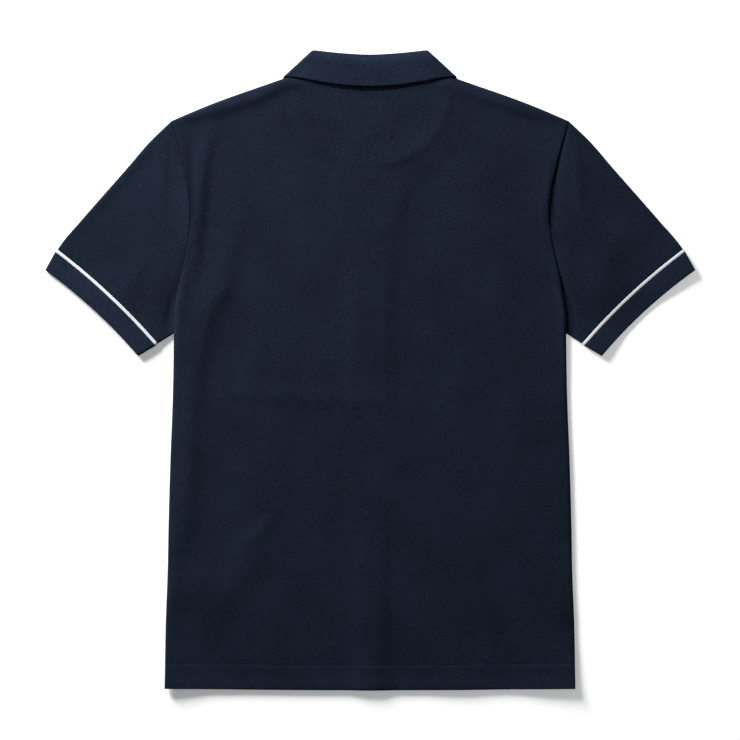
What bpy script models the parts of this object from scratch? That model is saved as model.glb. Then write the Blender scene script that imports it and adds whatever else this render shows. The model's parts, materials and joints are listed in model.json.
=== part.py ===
"""A men's short-sleeved polo shirt, laid flat on its front, at its real size.

Every piece that a maker cuts is one object: the back and front panels, two sleeves, the piping and
rib cuff at each sleeve's end, the collar, the two placket bands and the buttons.  Each cloth piece
is a grid of points worked out from the sizes below, with a wall of one thickness built on it.

The shirt lies in the XY plane with its neck towards +Y, its back up and the wearer's left at -X.
Two height fields carry the whole garment: under() is the underside of the lower layer, and loft()
is the height from there to the outside of the upper one.  Sizes are in millimetres, and MM turns
them into metres.
"""

from collections import namedtuple

import bmesh
import bpy
import numpy as np

MM = 0.001

# ---------------------------------------------------------------- cloth
CLOTH = 1.2  # wall of every piece
SEAM = 0.3  # clearance between pieces that are sewn edge to edge
ARMHOLE_SEAM = 0.4  # the same across the body, where the armhole runs aslant
LAYER = 0.3  # clearance between pieces that lie on each other
JUST = 1e-6  # a step too small to see, to stay on one side of a corner
LOFT = 4.2  # height of the shirt where its two panels lie on each other
SIDE_SWELL = 1.3  # how much higher the shirt stands along its rolled side edges
SWELL_REACH = 26.0  # how far in from the edge that swelling goes
SWELL_FADE = (60.0, 120.0)  # heights up the side between which the swelling halves
MIN_LOFT, MAX_LOFT = 3.0, 6.2  # the walls stay apart, and the hollow stays closed
DITCH = 0.2  # how much of its half height a panel loses at a sewn edge
DITCH_REACH = 3.0
FOLD_ENDS = 0.12  # a fold starts and ends this share of its bell curve in

# ---------------------------------------------------------------- body
HEM_Y = -376.6
UNDERARM_Y = 42.9
TIP_X, TIP_Y = 234.0, 293.8  # the shoulder tip, where shoulder and armhole meet
NECK_X, NECK_Y = 93.0, 346.9  # the shoulder seam's end at the neck
BACK_NECK_Y = 329.2
FRONT_NECK_Y = 262.0
NECK_ROUNDNESS = 1.7  # 2 is a quarter ellipse
NECK_BLEND = 14.0  # length of neck over which its sewn edge turns into the rolled shoulder
SHOULDER_CROWN = 2.2  # how far the shoulder seam bows up

# half the body's width at each height, from the hem up the side seam and the armhole
SideRow = namedtuple("SideRow", "y half_width")
SIDE = (
    SideRow(HEM_Y, 242.0),
    SideRow(-300.0, 241.0),
    SideRow(-240.0, 238.7),
    SideRow(-185.0, 237.7),
    SideRow(-106.0, 235.5),
    SideRow(-30.0, 232.6),
    SideRow(UNDERARM_Y, 231.4),
    SideRow(66.0, 231.2),
    SideRow(103.8, 224.8),
    SideRow(126.3, 219.5),
    SideRow(158.0, 213.0),
    SideRow(192.0, 210.6),
    SideRow(213.6, 213.0),
    SideRow(249.0, 220.9),
    SideRow(TIP_Y, TIP_X),
)
# heights up the side where the armhole seam starts, on the back and on the front
BACK_ARMHOLE = (70.0, 100.0)
FRONT_ARMHOLE = (44.0, 60.0)

# ---------------------------------------------------------------- placket
SLOT_HALF = 16.8
SLOT_BOTTOM = 102.0
BAND_HALF = 16.2
BAND_BOTTOM = SLOT_BOTTOM + 1.0
BAND_TOP = FRONT_NECK_Y - SEAM
BUTTON_YS = (246.0, 182.0)
BUTTON_RADIUS = 5.7
BUTTON_THICK = 1.6
BUTTON_RIM = 0.35
BUTTON_NAMES = ("button_upper", "button_lower")
BUTTON_PAD, BUTTON_SLOPE = 8.0, 12.0  # where the placket lies level over a button, and its flank

# ---------------------------------------------------------------- sleeves
# the sleeve's end, where the piping starts, from the top fold to the underarm
CUFF_TOP = (368.7, 142.3)
CUFF_UNDER = (250.0, 31.4)
CUFF_BOW = 4.2  # how far that line bows towards the body
PIPING_WIDTH = 3.6
PIPING_RISE = 0.5
PIPING_ROUND = 3.0  # how far from its two folds the piping swells sideways too
CUFF_END_TOP = (383.4, 117.8)
CUFF_END_UNDER = (273.2, 16.4)
CUFF_END_BOW = 4.5
# how far the sleeve's top fold stands out from its chord, along the sleeve
CrownRow = namedtuple("CrownRow", "along out")
SLEEVE_CROWN = (
    CrownRow(0.0, 0.0),
    CrownRow(0.18, 2.8),
    CrownRow(0.36, 2.2),
    CrownRow(0.62, 2.0),
    CrownRow(0.8, 1.7),
    CrownRow(0.94, 1.3),
    CrownRow(1.0, 0.0),
)

# ---------------------------------------------------------------- collar
FOLD_Y = 371.7  # the fold at the middle of the back
FOLD_CURVE = 1.6  # how the fold rises from there to the side: 1 is straight, 2 a parabola
FOLD_CORNER = (67.3, 378.0)  # where that fold would meet the crease down the side
FALL_SIDE = (102.0, 345.2)  # where the fall's edge turns round the shoulder
TURN_DRIFT = 0.72  # how far the strip slips down that crease for each millimetre that it turns
BACK_SWING = (0.7, 1.3)  # shares of the back neck between which the fold swings to the crease
FRONT_SWING = 0.33  # share of the front neck over which it swings on to the front
FRONT_FOLD = (2.0, 290.0)  # the fold's end at the centre front
LEAF_POINT = (47.5, 254.0)  # the collar's point
FRONT_EDGE = 1.5  # half the gap between the collar's two ends
STAND_FRONT_Z = LAYER + 1.5 * CLOTH
STAND_BACK_Z = CLOTH + LAYER + LOFT - 0.5 * CLOTH
NECK_SETBACK = 1.8  # how far up its crease the stand starts, clear of the shoulder seam's end
NECK_GAP = 1.2 * SEAM  # clearance of its seam along the front neck
LEAF_Z = 0.5 * CLOTH
FALL_FOLD_Z, FALL_EDGE_Z = 8.5, 7.4
# the fall's edge over the back, from the middle out
EdgeRow = namedtuple("EdgeRow", "x y")
FALL_EDGE = (
    EdgeRow(0.0, 334.1),
    EdgeRow(20.0, 334.8),
    EdgeRow(59.0, 339.6),
    EdgeRow(86.0, 344.6),
    EdgeRow(97.2, 345.5),
)
# the panels rise over the collar's leaves, out to this margin and then down again
RISE_MARGIN, RISE_FALL = 15.0, 16.0
RISE_PAST_FOLD = 10.0  # how far past the fold the leaves count as reaching
RISE = CLOTH + LAYER

# ---------------------------------------------------------------- how it lies
# where both layers stand off the surface
Lift = namedtuple("Lift", "name x y reach_x reach_y height")
ARMPIT = Lift("the sleeve's dip at the underarm", 246.0, 62.0, 60.0, 60.0, 1.6)
PLACKET = Lift("upper layer over the placket", 0.0, 190.0, 95.0, 150.0, 2.0)
PLACKET_STEEP = 2.6  # how quickly that rise reaches its full height
LIFTS = (
    Lift("hem, left corner", -246.0, -380.0, 62.0, 75.0, 4.2),
    Lift("hem, middle", 2.0, -382.0, 34.0, 60.0, 2.6),
    Lift("hem, right of the middle", 106.0, -384.0, 52.0, 50.0, 1.6),
    Lift("hem, right corner", 236.0, -380.0, 78.0, 85.0, 4.4),
    Lift("right cuff", 335.0, 60.0, 105.0, 100.0, 5.6),
    Lift("left cuff", -318.0, 50.0, 90.0, 80.0, 2.4),
)
# ridges and troughs in the upper layer, each along a path of points
Fold = namedtuple("Fold", "name width height path")
FOLDS = (
    Fold("centre crease, upper", 10.0, 0.7, ((0.0, 285.0), (2.0, 120.0), (1.0, 0.0))),
    Fold("centre crease, lower", 11.0, 1.2, ((1.0, 0.0), (1.0, -170.0), (2.0, -335.0))),
    Fold("cross crease", 8.0, 0.9, ((-130.0, -33.0), (-20.0, -37.0), (94.0, -34.0))),
    Fold("left shoulder trough", 7.0, -0.8, ((-200.0, 292.0), (-86.0, 336.0))),
    Fold("right shoulder trough", 7.0, -0.8, ((200.0, 292.0), (86.0, 336.0))),
    Fold("left armhole trough", 11.0, -0.9, ((-194.0, 250.0), (-198.0, 108.0))),
    Fold("right armhole trough", 11.0, -0.7, ((196.0, 250.0), (196.0, 130.0))),
    Fold(
        "left side trough",
        8.0,
        -1.0,
        ((-157.0, 130.0), (-189.0, 36.0), (-204.0, -65.0), (-216.0, -200.0)),
    ),
    Fold("right side trough", 9.0, -0.7, ((196.0, 40.0), (206.0, -70.0), (212.0, -190.0))),
    Fold("lower left ridge", 13.0, 1.2, ((-112.0, -205.0), (-208.0, -318.0))),
    Fold("lower right trough", 12.0, -1.0, ((96.0, -208.0), (182.0, -322.0))),
    Fold("left side bump", 12.0, 1.1, ((-228.0, -250.0), (-196.0, -258.0))),
    Fold("left sleeve fold", 9.0, -1.0, ((-240.0, 78.0), (-258.0, 44.0))),
    Fold("right sleeve fold", 9.0, -1.0, ((240.0, 86.0), (262.0, 50.0))),
    Fold("left sleeve ridge", 14.0, 0.8, ((-262.0, 232.0), (-306.0, 128.0))),
    Fold("right sleeve ridge", 14.0, 0.8, ((252.0, 236.0), (300.0, 120.0))),
)

# ---------------------------------------------------------------- mesh stations
ROLL = (0.0, 1.4, 2.9, 8.0)  # distances from a rolled edge that shape its curve
BACK_COLUMNS = (0.0, 9.0, 22.0, 40.0, 60.0, 76.0, 86.0, NECK_X, 115.0, 140.0, 165.0, 188.0, 206.0, 218.0)
FRONT_COLUMNS = (SLOT_HALF, 38.0, 58.0, 74.0, 86.0, NECK_X, 112.0, 136.0, 172.0, 210.0)
BODY_ROWS = tuple(np.arange(-346.5, 30.0, 26.0))
FRONT_BODY_ROWS = (*BODY_ROWS[:3], -240.0, -180.0, -120.0, -60.0, -10.0)
SLOT_ROW = HEM_Y + (TIP_Y - HEM_Y) * (SLOT_BOTTOM - HEM_Y) / (FRONT_NECK_Y - HEM_Y)
ARMHOLE_ROWS = (UNDERARM_Y, 60.0, 80.0, 102.0, SLOT_ROW, 150.0, 172.0, 192.0, 212.0, 232.0, 252.0, 270.0)
SLEEVE_RINGS = (0.0, 0.03, 0.14, 0.32, 0.5, 0.68, 0.86, 0.97, 1.0)
BAND_RINGS = (0.0, 0.33, 0.67, 1.0)
CUFF_RINGS = (0.0, 0.12, 0.55, 1.0)
TURN_ANGLES = (60.0, 30.0, 0.0, -30.0, -60.0)
STAND_ROWS, FOLD_ROWS, FALL_ROWS = 3, 4, 4
BAND_COLUMNS = (-BAND_HALF, -7.0, 0.0, 7.0, BAND_HALF)
BAND_ROWS = (BAND_BOTTOM, 125.0, 150.0, 166.0, 175.0, 182.0, 189.0, 198.0, 214.0, 230.0, 239.0, 246.0, 253.0)

# ---------------------------------------------------------------- colours
Finish = namedtuple("Finish", "name colour roughness")
NAVY = Finish("navy pique", (0.0064, 0.0106, 0.0207), 0.9)
NAVY_RIB = Finish("navy rib", (0.0066, 0.0107, 0.0210), 0.92)
WHITE = Finish("white piping", (0.78, 0.79, 0.82), 0.8)
BUTTON = Finish("navy button", (0.020, 0.026, 0.045), 0.35)


# ================================================================ small tools
def smooth(t):
    """Rises from 0 to 1 as t does, level at both ends."""
    t = np.clip(t, 0.0, 1.0)
    return t * t * (3.0 - 2.0 * t)


def bump(t):
    """1 at t = 0 and exactly 0 from t = 1 on."""
    return np.clip(1.0 - t * t, 0.0, None) ** 2


def through(rows):
    """A smooth function through a table's (input, output) rows."""
    xs, ys = np.array([(row[0], row[1]) for row in rows]).T
    slopes = np.gradient(ys, xs)

    def value(x):
        x = np.clip(x, xs[0], xs[-1])
        i = np.clip(np.searchsorted(xs, x) - 1, 0, len(xs) - 2)
        width = xs[i + 1] - xs[i]
        t = (x - xs[i]) / width
        ease = t * t * (3.0 - 2.0 * t)
        start = slopes[i] * width * t * (1.0 - t) ** 2
        end = slopes[i + 1] * width * t * t * (t - 1.0)
        return ys[i] * (1.0 - ease) + ys[i + 1] * ease + start + end

    return value


def along_path(x, y, path):
    """Distance to a path of points, and how far along the path the nearest one is, 0 to 1."""
    lengths = [np.hypot(q[0] - p[0], q[1] - p[1]) for p, q in zip(path, path[1:])]
    nearest = np.full(np.shape(x), np.inf)
    place = np.zeros(np.shape(x))
    walked = 0.0
    for p, q, length in zip(path, path[1:], lengths):
        ex, ey = (q[0] - p[0]) / length, (q[1] - p[1]) / length
        run = np.clip((x - p[0]) * ex + (y - p[1]) * ey, 0.0, length)
        away = np.hypot(x - p[0] - run * ex, y - p[1] - run * ey)
        place = np.where(away < nearest, (walked + run) / sum(lengths), place)
        nearest = np.minimum(nearest, away)
        walked += length
    return nearest, place


def outside_polygon(x, y, corners):
    """Distance outside a convex polygon whose corners run anticlockwise, 0 inside."""
    away = np.full(np.shape(x), np.inf)
    inside = np.ones(np.shape(x), bool)
    for p, q in zip(corners, corners[1:] + corners[:1]):
        ex, ey = q[0] - p[0], q[1] - p[1]
        run = np.clip(((x - p[0]) * ex + (y - p[1]) * ey) / (ex * ex + ey * ey), 0.0, 1.0)
        away = np.minimum(away, np.hypot(x - p[0] - run * ex, y - p[1] - run * ey))
        inside &= ex * (y - p[1]) - ey * (x - p[0]) >= 0.0
    return np.where(inside, 0.0, away)


def blend(p, q, t):
    """The point a share t of the way from p to q."""
    return np.asarray(p) * (1.0 - t) + np.asarray(q) * t


# ================================================================ height fields
half_width = through(SIDE)
crown = through(SLEEVE_CROWN)
fall_edge = through(FALL_EDGE)

LEAF_RIM = (
    (-LEAF_POINT[0], LEAF_POINT[1]),
    LEAF_POINT,
    FALL_SIDE,
    (FOLD_CORNER[0], FOLD_CORNER[1] + RISE_PAST_FOLD),
    (-FOLD_CORNER[0], FOLD_CORNER[1] + RISE_PAST_FOLD),
    (-FALL_SIDE[0], FALL_SIDE[1]),
)


def leaf_rise(x, y):
    """How far the front panel stands over the collar's leaves, which lie under it."""
    return RISE * (1.0 - smooth((outside_polygon(x, y, LEAF_RIM) - RISE_MARGIN) / RISE_FALL))


def under(x, y):
    """Underside of the lower layer: on the surface, but over the collar and where it is lifted."""
    height = leaf_rise(x, y)
    for lift in LIFTS:
        away = np.hypot((x - lift.x) / lift.reach_x, (y - lift.y) / lift.reach_y)
        height = height + lift.height * bump(away)
    return height


def loft(x, y, armpit=0.0):
    """Height of the shirt from its underside to its top, with the folds of the upper layer."""
    from_side = half_width(y) - np.abs(x)
    swell = SIDE_SWELL * np.clip(1.0 - np.abs(from_side) / SWELL_REACH, 0.0, 1.0)
    fade = smooth((y - SWELL_FADE[0]) / (SWELL_FADE[1] - SWELL_FADE[0]))
    height = LOFT + swell * (1.0 - 0.5 * fade)
    for fold in FOLDS:
        away, place = along_path(x, y, fold.path)
        taper = np.sin(np.pi * blend(FOLD_ENDS, 1.0 - FOLD_ENDS, place))
        height = height + fold.height * taper * np.exp(-((away / fold.width) ** 2))
    away = np.hypot((x - PLACKET.x) / PLACKET.reach_x, (y - PLACKET.y) / PLACKET.reach_y)
    over_bands = (PLACKET.height - leaf_rise(x, y)) * smooth((1.0 - away) * PLACKET_STEEP)
    height = np.maximum(height, LOFT + over_bands)
    height = height - armpit * bump(np.hypot(np.abs(x) - ARMPIT.x, y - ARMPIT.y) / ARMPIT.reach_x)
    return np.clip(height, MIN_LOFT, MAX_LOFT)


def rolled(away, reach):
    """Share of the half height at a distance from an edge that rolls round to the other layer."""
    t = 1.0 - np.clip(away / reach, 0.0, 1.0)
    return np.sqrt(np.clip(1.0 - t * t, 0.0, None))


def ditch(away):
    """Share of the half height at a distance from an edge that is sewn to the next piece."""
    return 1.0 - DITCH * (1.0 - np.clip(away / DITCH_REACH, 0.0, 1.0)) ** 2


def back_top(x):
    """The back panel's upper edge: shoulder, neck, shoulder."""
    x = np.abs(x)
    neck = BACK_NECK_Y + (NECK_Y - BACK_NECK_Y) * (x / NECK_X) ** 2
    return np.where(x < NECK_X, neck, shoulder(x))


def front_top(x):
    """The front panel's upper edge, with the deeper neck."""
    x = np.abs(x)
    t = np.clip((x - SLOT_HALF) / (NECK_X - SLOT_HALF), 0.0, 1.0)
    drop = (1.0 - t**NECK_ROUNDNESS) ** (1.0 / NECK_ROUNDNESS)
    neck = NECK_Y - (NECK_Y - FRONT_NECK_Y) * drop
    return np.where(x < NECK_X, neck, shoulder(x))


def shoulder(x):
    """The shoulder seam from the neck to the shoulder tip."""
    t = np.clip((x - NECK_X) / (TIP_X - NECK_X), 0.0, 1.0)
    return NECK_Y + (TIP_Y - NECK_Y) * t + SHOULDER_CROWN * np.sin(np.pi * t**1.3)


# ================================================================ meshes
def new_object(name, bm, finish):
    """Turns a bmesh in millimetres into an object in metres with its material."""
    bmesh.ops.scale(bm, vec=(MM, MM, MM), verts=bm.verts)
    mesh = bpy.data.meshes.new(name)
    bm.to_mesh(mesh)
    bm.free()
    mesh.materials.append(material(finish))
    mesh.shade_smooth()
    obj = bpy.data.objects.new(name, mesh)
    bpy.context.scene.collection.objects.link(obj)
    return obj


def material(finish):
    """The Principled material of a finish, made once."""
    found = bpy.data.materials.get(finish.name)
    if found:
        return found
    made = bpy.data.materials.new(finish.name)
    made.use_nodes = True
    shader = made.node_tree.nodes["Principled BSDF"]
    shader.inputs["Base Color"].default_value = (*finish.colour, 1.0)
    shader.inputs["Roughness"].default_value = finish.roughness
    shader.inputs["Metallic"].default_value = 0.0
    return made


def tangents(points, axis, ring):
    """Direction of a grid along one axis, weighted so that uneven steps round a curve stay true."""
    ahead = np.roll(points, -1, axis=axis) - points
    if not ring:
        ahead = np.take(ahead, range(points.shape[axis] - 1), axis=axis)
        first, last = np.take(ahead, [0], axis=axis), np.take(ahead, [-1], axis=axis)
        ahead = np.concatenate((first, ahead, last), axis=axis)
    share = ahead / np.sum(ahead * ahead, axis=-1, keepdims=True)
    if ring:
        return share + np.roll(share, 1, axis=axis)
    count = points.shape[axis]
    return np.take(share, range(count), axis=axis) + np.take(share, range(1, count + 1), axis=axis)


def normals(grid, ring):
    """Unit normals of a grid of points, rows by columns."""
    across = np.cross(tangents(grid, 1, ring), tangents(grid, 0, False))
    return across / np.linalg.norm(across, axis=-1, keepdims=True)


def cloth(name, grid, finish, ring=False, flip=False, skip=None, out=0.0, ghosts=False, level=False):
    """A cloth wall on a grid of points, rows by columns.

    ring joins the last column to the first, flip turns the faces over, skip(row, column) leaves a
    cell out, and out is the share of the wall that lies outside the grid.  ghosts says that the
    grid has one more column at each side and one more row on top, which only steer the normals.
    level keeps the wall's thickness upright, for pieces that lie close on each other.
    """
    facing = np.array((0.0, 0.0, 1.0)) + 0.0 * grid if level else normals(grid, ring)
    facing = facing * (-1.0 if flip else 1.0)
    if ghosts:
        grid, facing = grid[:-1, 1:-1], facing[:-1, 1:-1]
    rows, columns = grid.shape[:2]
    bm = bmesh.new()
    outer = [[bm.verts.new(point) for point in row] for row in grid + facing * CLOTH * out]
    inner = [[bm.verts.new(point) for point in row] for row in grid - facing * CLOTH * (1.0 - out)]
    below = {}
    for r in range(rows):
        for c in range(columns):
            below[outer[r][c]] = inner[r][c]
    for r in range(rows - 1):
        for c in range(columns if ring else columns - 1):
            if skip and skip(r, c):
                continue
            d = (c + 1) % columns
            corners = [outer[r][c], outer[r][d], outer[r + 1][d], outer[r + 1][c]]
            bm.faces.new(corners[::-1] if flip else corners)
    bmesh.ops.triangulate(bm, faces=bm.faces, quad_method="FIXED")
    rims = [loop for face in bm.faces for loop in face.loops if len(loop.edge.link_faces) == 1]
    rims = [(loop.vert, loop.link_loop_next.vert) for loop in rims]
    for face in list(bm.faces):
        bm.faces.new([below[vert] for vert in reversed(face.verts)])
    for start, end in rims:
        bm.faces.new((end, start, below[start], below[end]))
    loose = [vert for vert in bm.verts if not vert.link_faces]
    bmesh.ops.delete(bm, geom=loose, context="VERTS")
    return new_object(name, bm, finish)


# ================================================================ body
def stations(inner, outer):
    """Column or row places up to an edge at outer, with the closer ones that its roll needs."""
    return tuple(inner) + tuple(outer - away for away in reversed(ROLL))


def body_grid(columns, rows, upper_edge, face, sewn_from):
    """Points of a body panel's outside, from the hem up. face is 1 on the back, -1 on the front."""
    half = stations(columns, TIP_X)
    across = np.array(sorted({-c for c in half} | set(half))) / TIP_X
    up = (np.array(stations(rows, TIP_Y)) - HEM_Y) / (TIP_Y - HEM_Y)
    across, up = np.meshgrid(across, up)
    side_y = HEM_Y + (TIP_Y - HEM_Y) * up
    width = half_width(side_y)
    nominal = across * TIP_X
    x = nominal + (width - TIP_X) * np.sign(across) * np.abs(across) ** 3
    y = HEM_Y + (upper_edge(nominal) - HEM_Y) * up
    low, high = under(x, y), loft(x, y)
    reach = 0.5 * high
    side_sewn = smooth((side_y - sewn_from[0]) / (sewn_from[1] - sewn_from[0]))
    neck_sewn = 1.0 - smooth((np.abs(nominal) - NECK_X) / NECK_BLEND + 1.0)
    from_side, from_top = width - np.abs(x), upper_edge(nominal) - y
    share = blend(rolled(from_side, reach), ditch(from_side), side_sewn)
    share = share * blend(rolled(from_top, reach), ditch(from_top), neck_sewn)
    middle = low + 0.5 * high
    z = middle + face * (0.5 * high * share + 0.5 * SEAM * (1.0 - share))
    grid = np.stack((x, y, z), axis=-1)
    left = beyond(grid[:, 0], grid[:, 1], side_sewn[:, 0])
    right = beyond(grid[:, -1], grid[:, -2], side_sewn[:, -1])
    grid = np.concatenate((left[:, None], grid, right[:, None]), axis=1)
    sewn = np.concatenate((neck_sewn[-1, :1], neck_sewn[-1], neck_sewn[-1, -1:]))
    return np.concatenate((grid, beyond(grid[-1], grid[-2], sewn)[None]))


def beyond(edge, inside, sewn):
    """Points just past an edge: straight on where it is sewn, and turned back where it rolls."""
    turned = inside.copy()
    turned[:, 2] = 2.0 * edge[:, 2] - inside[:, 2]
    return blend(turned, 2.0 * edge - inside, sewn[:, None])


def make_back():
    grid = body_grid(BACK_COLUMNS, (HEM_Y, *BODY_ROWS, *ARMHOLE_ROWS), back_top, 1.0, BACK_ARMHOLE)
    cloth("back_panel", grid, NAVY, ghosts=True)


def make_front():
    rows = (HEM_Y, *FRONT_BODY_ROWS, *ARMHOLE_ROWS)
    grid = body_grid(FRONT_COLUMNS, rows, front_top, -1.0, FRONT_ARMHOLE)
    slot_row = rows.index(SLOT_ROW)
    slot_column = (grid.shape[1] - 2) // 2 - 1

    def slot(row, column):
        return row >= slot_row and column == slot_column

    cloth("front_panel", grid, NAVY, flip=True, skip=slot, ghosts=True)


# ================================================================ sleeves
def sleeve_stations():
    """Heights on the armhole seam from the shoulder tip down to the underarm."""
    rows = stations(ARMHOLE_ROWS, TIP_Y)
    roll = tuple(UNDERARM_Y + away for away in ROLL[1:])
    return np.array(sorted(set(rows) | set(roll), reverse=True))


def cuff_line(share, top_end, under_end, bow, outward):
    """A line across the sleeve's end, bowed towards the body, moved out along the sleeve."""
    line = blend(top_end, under_end, share[:, None])
    return line + np.outer(outward - bow * 4.0 * share * (1.0 - share), SLEEVE_WAY)


def sleeve_way():
    """Unit direction along the sleeve, square to the piping."""
    run = np.subtract(CUFF_UNDER, CUFF_TOP)
    return np.array((-run[1], run[0])) / np.hypot(*run)


SLEEVE_WAY = sleeve_way()
ARM_Y = sleeve_stations()
ARM_SHARE = (TIP_Y - ARM_Y) / (TIP_Y - UNDERARM_Y)


def tube(name, start, end, rings, side, finish, grow=0.0, armpit=0.0, crowned=False):
    """A flattened tube between two lines in plan, on the side 1 (right) or -1 (left)."""
    loops = []
    length = np.hypot(*(end - start).T)
    for ring in rings:
        plan = blend(start, end, ring)
        if crowned:
            out = crown(ring) * (1.0 - ARM_SHARE) ** 2
            plan = plan + np.outer(out, (-SLEEVE_WAY[1], SLEEVE_WAY[0]))
        x, y = plan[:, 0] * side, plan[:, 1]
        high = loft(x, y, armpit)
        puff = grow * np.sin(np.pi * ring)
        from_top = np.hypot(*(plan - plan[0]).T)
        from_under = np.hypot(*(plan - plan[-1]).T)
        share = rolled(from_top, 0.5 * high) * rolled(from_under, 0.5 * high)
        ends = ditch(ring * length) * ditch((1.0 - ring) * length) if crowned else 1.0
        middle = under(x, y) + 0.5 * high
        upper = np.stack((x, y, middle + (0.5 * high * ends + puff) * share), axis=-1)
        lower = np.stack((x, y, middle - 0.5 * high * ends * share), axis=-1)
        sideways = puff * np.sqrt(0.5)
        swell = sideways * np.outer(np.exp(-from_top / PIPING_ROUND), (side, 1.0))
        swell = swell - sideways * np.outer(np.exp(-from_under / PIPING_ROUND), (side, 1.0))
        upper[:, :2] += swell
        lower[:, :2] += swell
        loops.append(np.concatenate((upper, lower[-2:0:-1])))
    grid = np.array(loops)
    cloth(name, grid, finish, ring=True, flip=side < 0)


def make_sleeves():
    armhole = np.stack((half_width(ARM_Y) + ARMHOLE_SEAM, ARM_Y), axis=-1)
    piping = cuff_line(ARM_SHARE, CUFF_TOP, CUFF_UNDER, CUFF_BOW, 0.0)
    piping_end = cuff_line(ARM_SHARE, CUFF_TOP, CUFF_UNDER, CUFF_BOW, SEAM + PIPING_WIDTH)
    cuff = cuff_line(ARM_SHARE, CUFF_TOP, CUFF_UNDER, CUFF_BOW, SEAM + PIPING_WIDTH + SEAM)
    cuff_end = cuff_line(ARM_SHARE, CUFF_END_TOP, CUFF_END_UNDER, CUFF_END_BOW, 0.0)
    piping_start = cuff_line(ARM_SHARE, CUFF_TOP, CUFF_UNDER, CUFF_BOW, SEAM)
    for label, side in (("left", -1.0), ("right", 1.0)):
        tube("sleeve_" + label, armhole, piping, SLEEVE_RINGS, side, NAVY, armpit=ARMPIT.height, crowned=True)
        tube("piping_" + label, piping_start, piping_end, BAND_RINGS, side, WHITE, grow=PIPING_RISE)
        tube("cuff_" + label, cuff, cuff_end, CUFF_RINGS, side, NAVY_RIB)


# ================================================================ collar
def collar_half():
    """Columns of the collar's right half, from the middle of the back to the centre front.

    Each column is four points: the neck seam, the fold on the stand, the fold on the fall and the
    fall's edge, with the way out of the strip at the fold.
    """
    crease = np.subtract(FOLD_CORNER, FALL_SIDE) / np.hypot(*np.subtract(FOLD_CORNER, FALL_SIDE))
    outward = np.array((crease[1], -crease[0]))
    fold_reach = 0.5 * (FALL_FOLD_Z - STAND_BACK_Z) + 0.5 * CLOTH
    stand_turn = 0.5 * (STAND_BACK_Z - STAND_FRONT_Z)
    fold_turn = 0.5 * (FALL_FOLD_Z - LEAF_Z)
    edge_turn = 0.5 * (FALL_EDGE_Z - LEAF_Z)
    fold_axis = np.array(FOLD_CORNER) - outward * (fold_turn + 0.5 * CLOTH)
    neck_axis = np.array((NECK_X, NECK_Y)) - outward * (stand_turn + 0.5 * CLOTH) + crease * NECK_SETBACK
    edge_axis = np.array(FALL_EDGE[-1])
    fold_slip, edge_slip = -crease * TURN_DRIFT * fold_turn, -crease * TURN_DRIFT * edge_turn
    columns = []

    def add(neck, stand_fold, fall_fold, edge, way):
        columns.append([np.array(point, float) for point in (neck, stand_fold, fall_fold, edge, (*way, 0.0))])

    for x in [c for c in BACK_COLUMNS if c < NECK_X] + [NECK_X]:
        t = x / NECK_X
        neck = np.array((x, back_top(x - JUST) + SEAM)) if x < NECK_X else neck_axis
        rise = (fold_axis[1] - FOLD_Y + fold_reach) * t**FOLD_CURVE
        fold = (fold_axis[0] * t, FOLD_Y - fold_reach + rise)
        edge = (edge_axis[0] * t, fall_edge(edge_axis[0] * t))
        turn = smooth((t - BACK_SWING[0]) / (BACK_SWING[1] - BACK_SWING[0]))
        way = blend((0.0, 1.0), crease, turn)
        way = way / np.hypot(*way)
        add((*neck, STAND_BACK_Z), (*fold, STAND_BACK_Z), (*fold, FALL_FOLD_Z), (*edge, FALL_EDGE_Z), way)
    for angle in np.radians(TURN_ANGLES):
        out, rise, turned = np.cos(angle) * outward, np.sin(angle), 0.5 * np.pi - angle

        def on_turn(axis, slip, radius, middle):
            return (*(axis + slip * turned + out * radius), middle + rise * radius)

        stand_middle = 0.5 * (STAND_BACK_Z + STAND_FRONT_Z)
        add(
            on_turn(neck_axis, 0.0, stand_turn, stand_middle),
            on_turn(fold_axis, fold_slip, stand_turn, stand_middle),
            on_turn(fold_axis, fold_slip, fold_turn, 0.5 * (FALL_FOLD_Z + LEAF_Z)),
            on_turn(edge_axis, edge_slip, edge_turn, 0.5 * (FALL_EDGE_Z + LEAF_Z)),
            crease,
        )
    fold_axis, edge_axis = fold_axis + fold_slip * np.pi, edge_axis + edge_slip * np.pi
    seam_xs = [c for c in FRONT_COLUMNS if c < NECK_X]
    seam = [neck_axis] + [front_neck_inside(x) for x in reversed(seam_xs)]
    seam.append(np.array((FRONT_EDGE, FRONT_NECK_Y + SEAM)))
    lengths = np.cumsum([0.0] + [np.hypot(*(q - p)) for p, q in zip(seam, seam[1:])])
    run = np.array(FRONT_FOLD) - fold_axis
    front_way = np.array((run[1], -run[0])) / np.hypot(*run)
    for neck, length in zip(seam, lengths):
        t = length / lengths[-1]
        fold = blend(fold_axis, FRONT_FOLD, t)
        edge = blend(edge_axis, LEAF_POINT, t)
        way = blend(crease, front_way, smooth(t / FRONT_SWING))
        way = way / np.hypot(*way)
        add((*neck, STAND_FRONT_Z), (*fold, STAND_FRONT_Z), (*fold, LEAF_Z), (*edge, LEAF_Z), way)
    return columns


def front_neck_inside(x):
    """The collar's seam at the front neck, inside the panel's edge by the seam's clearance."""
    step = 0.5
    slope = (front_top(min(x + step, NECK_X - JUST)) - front_top(x - step)) / (2.0 * step)
    length = np.hypot(1.0, slope)
    return np.array((x - NECK_GAP * slope / length, front_top(x) + NECK_GAP / length))


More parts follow.
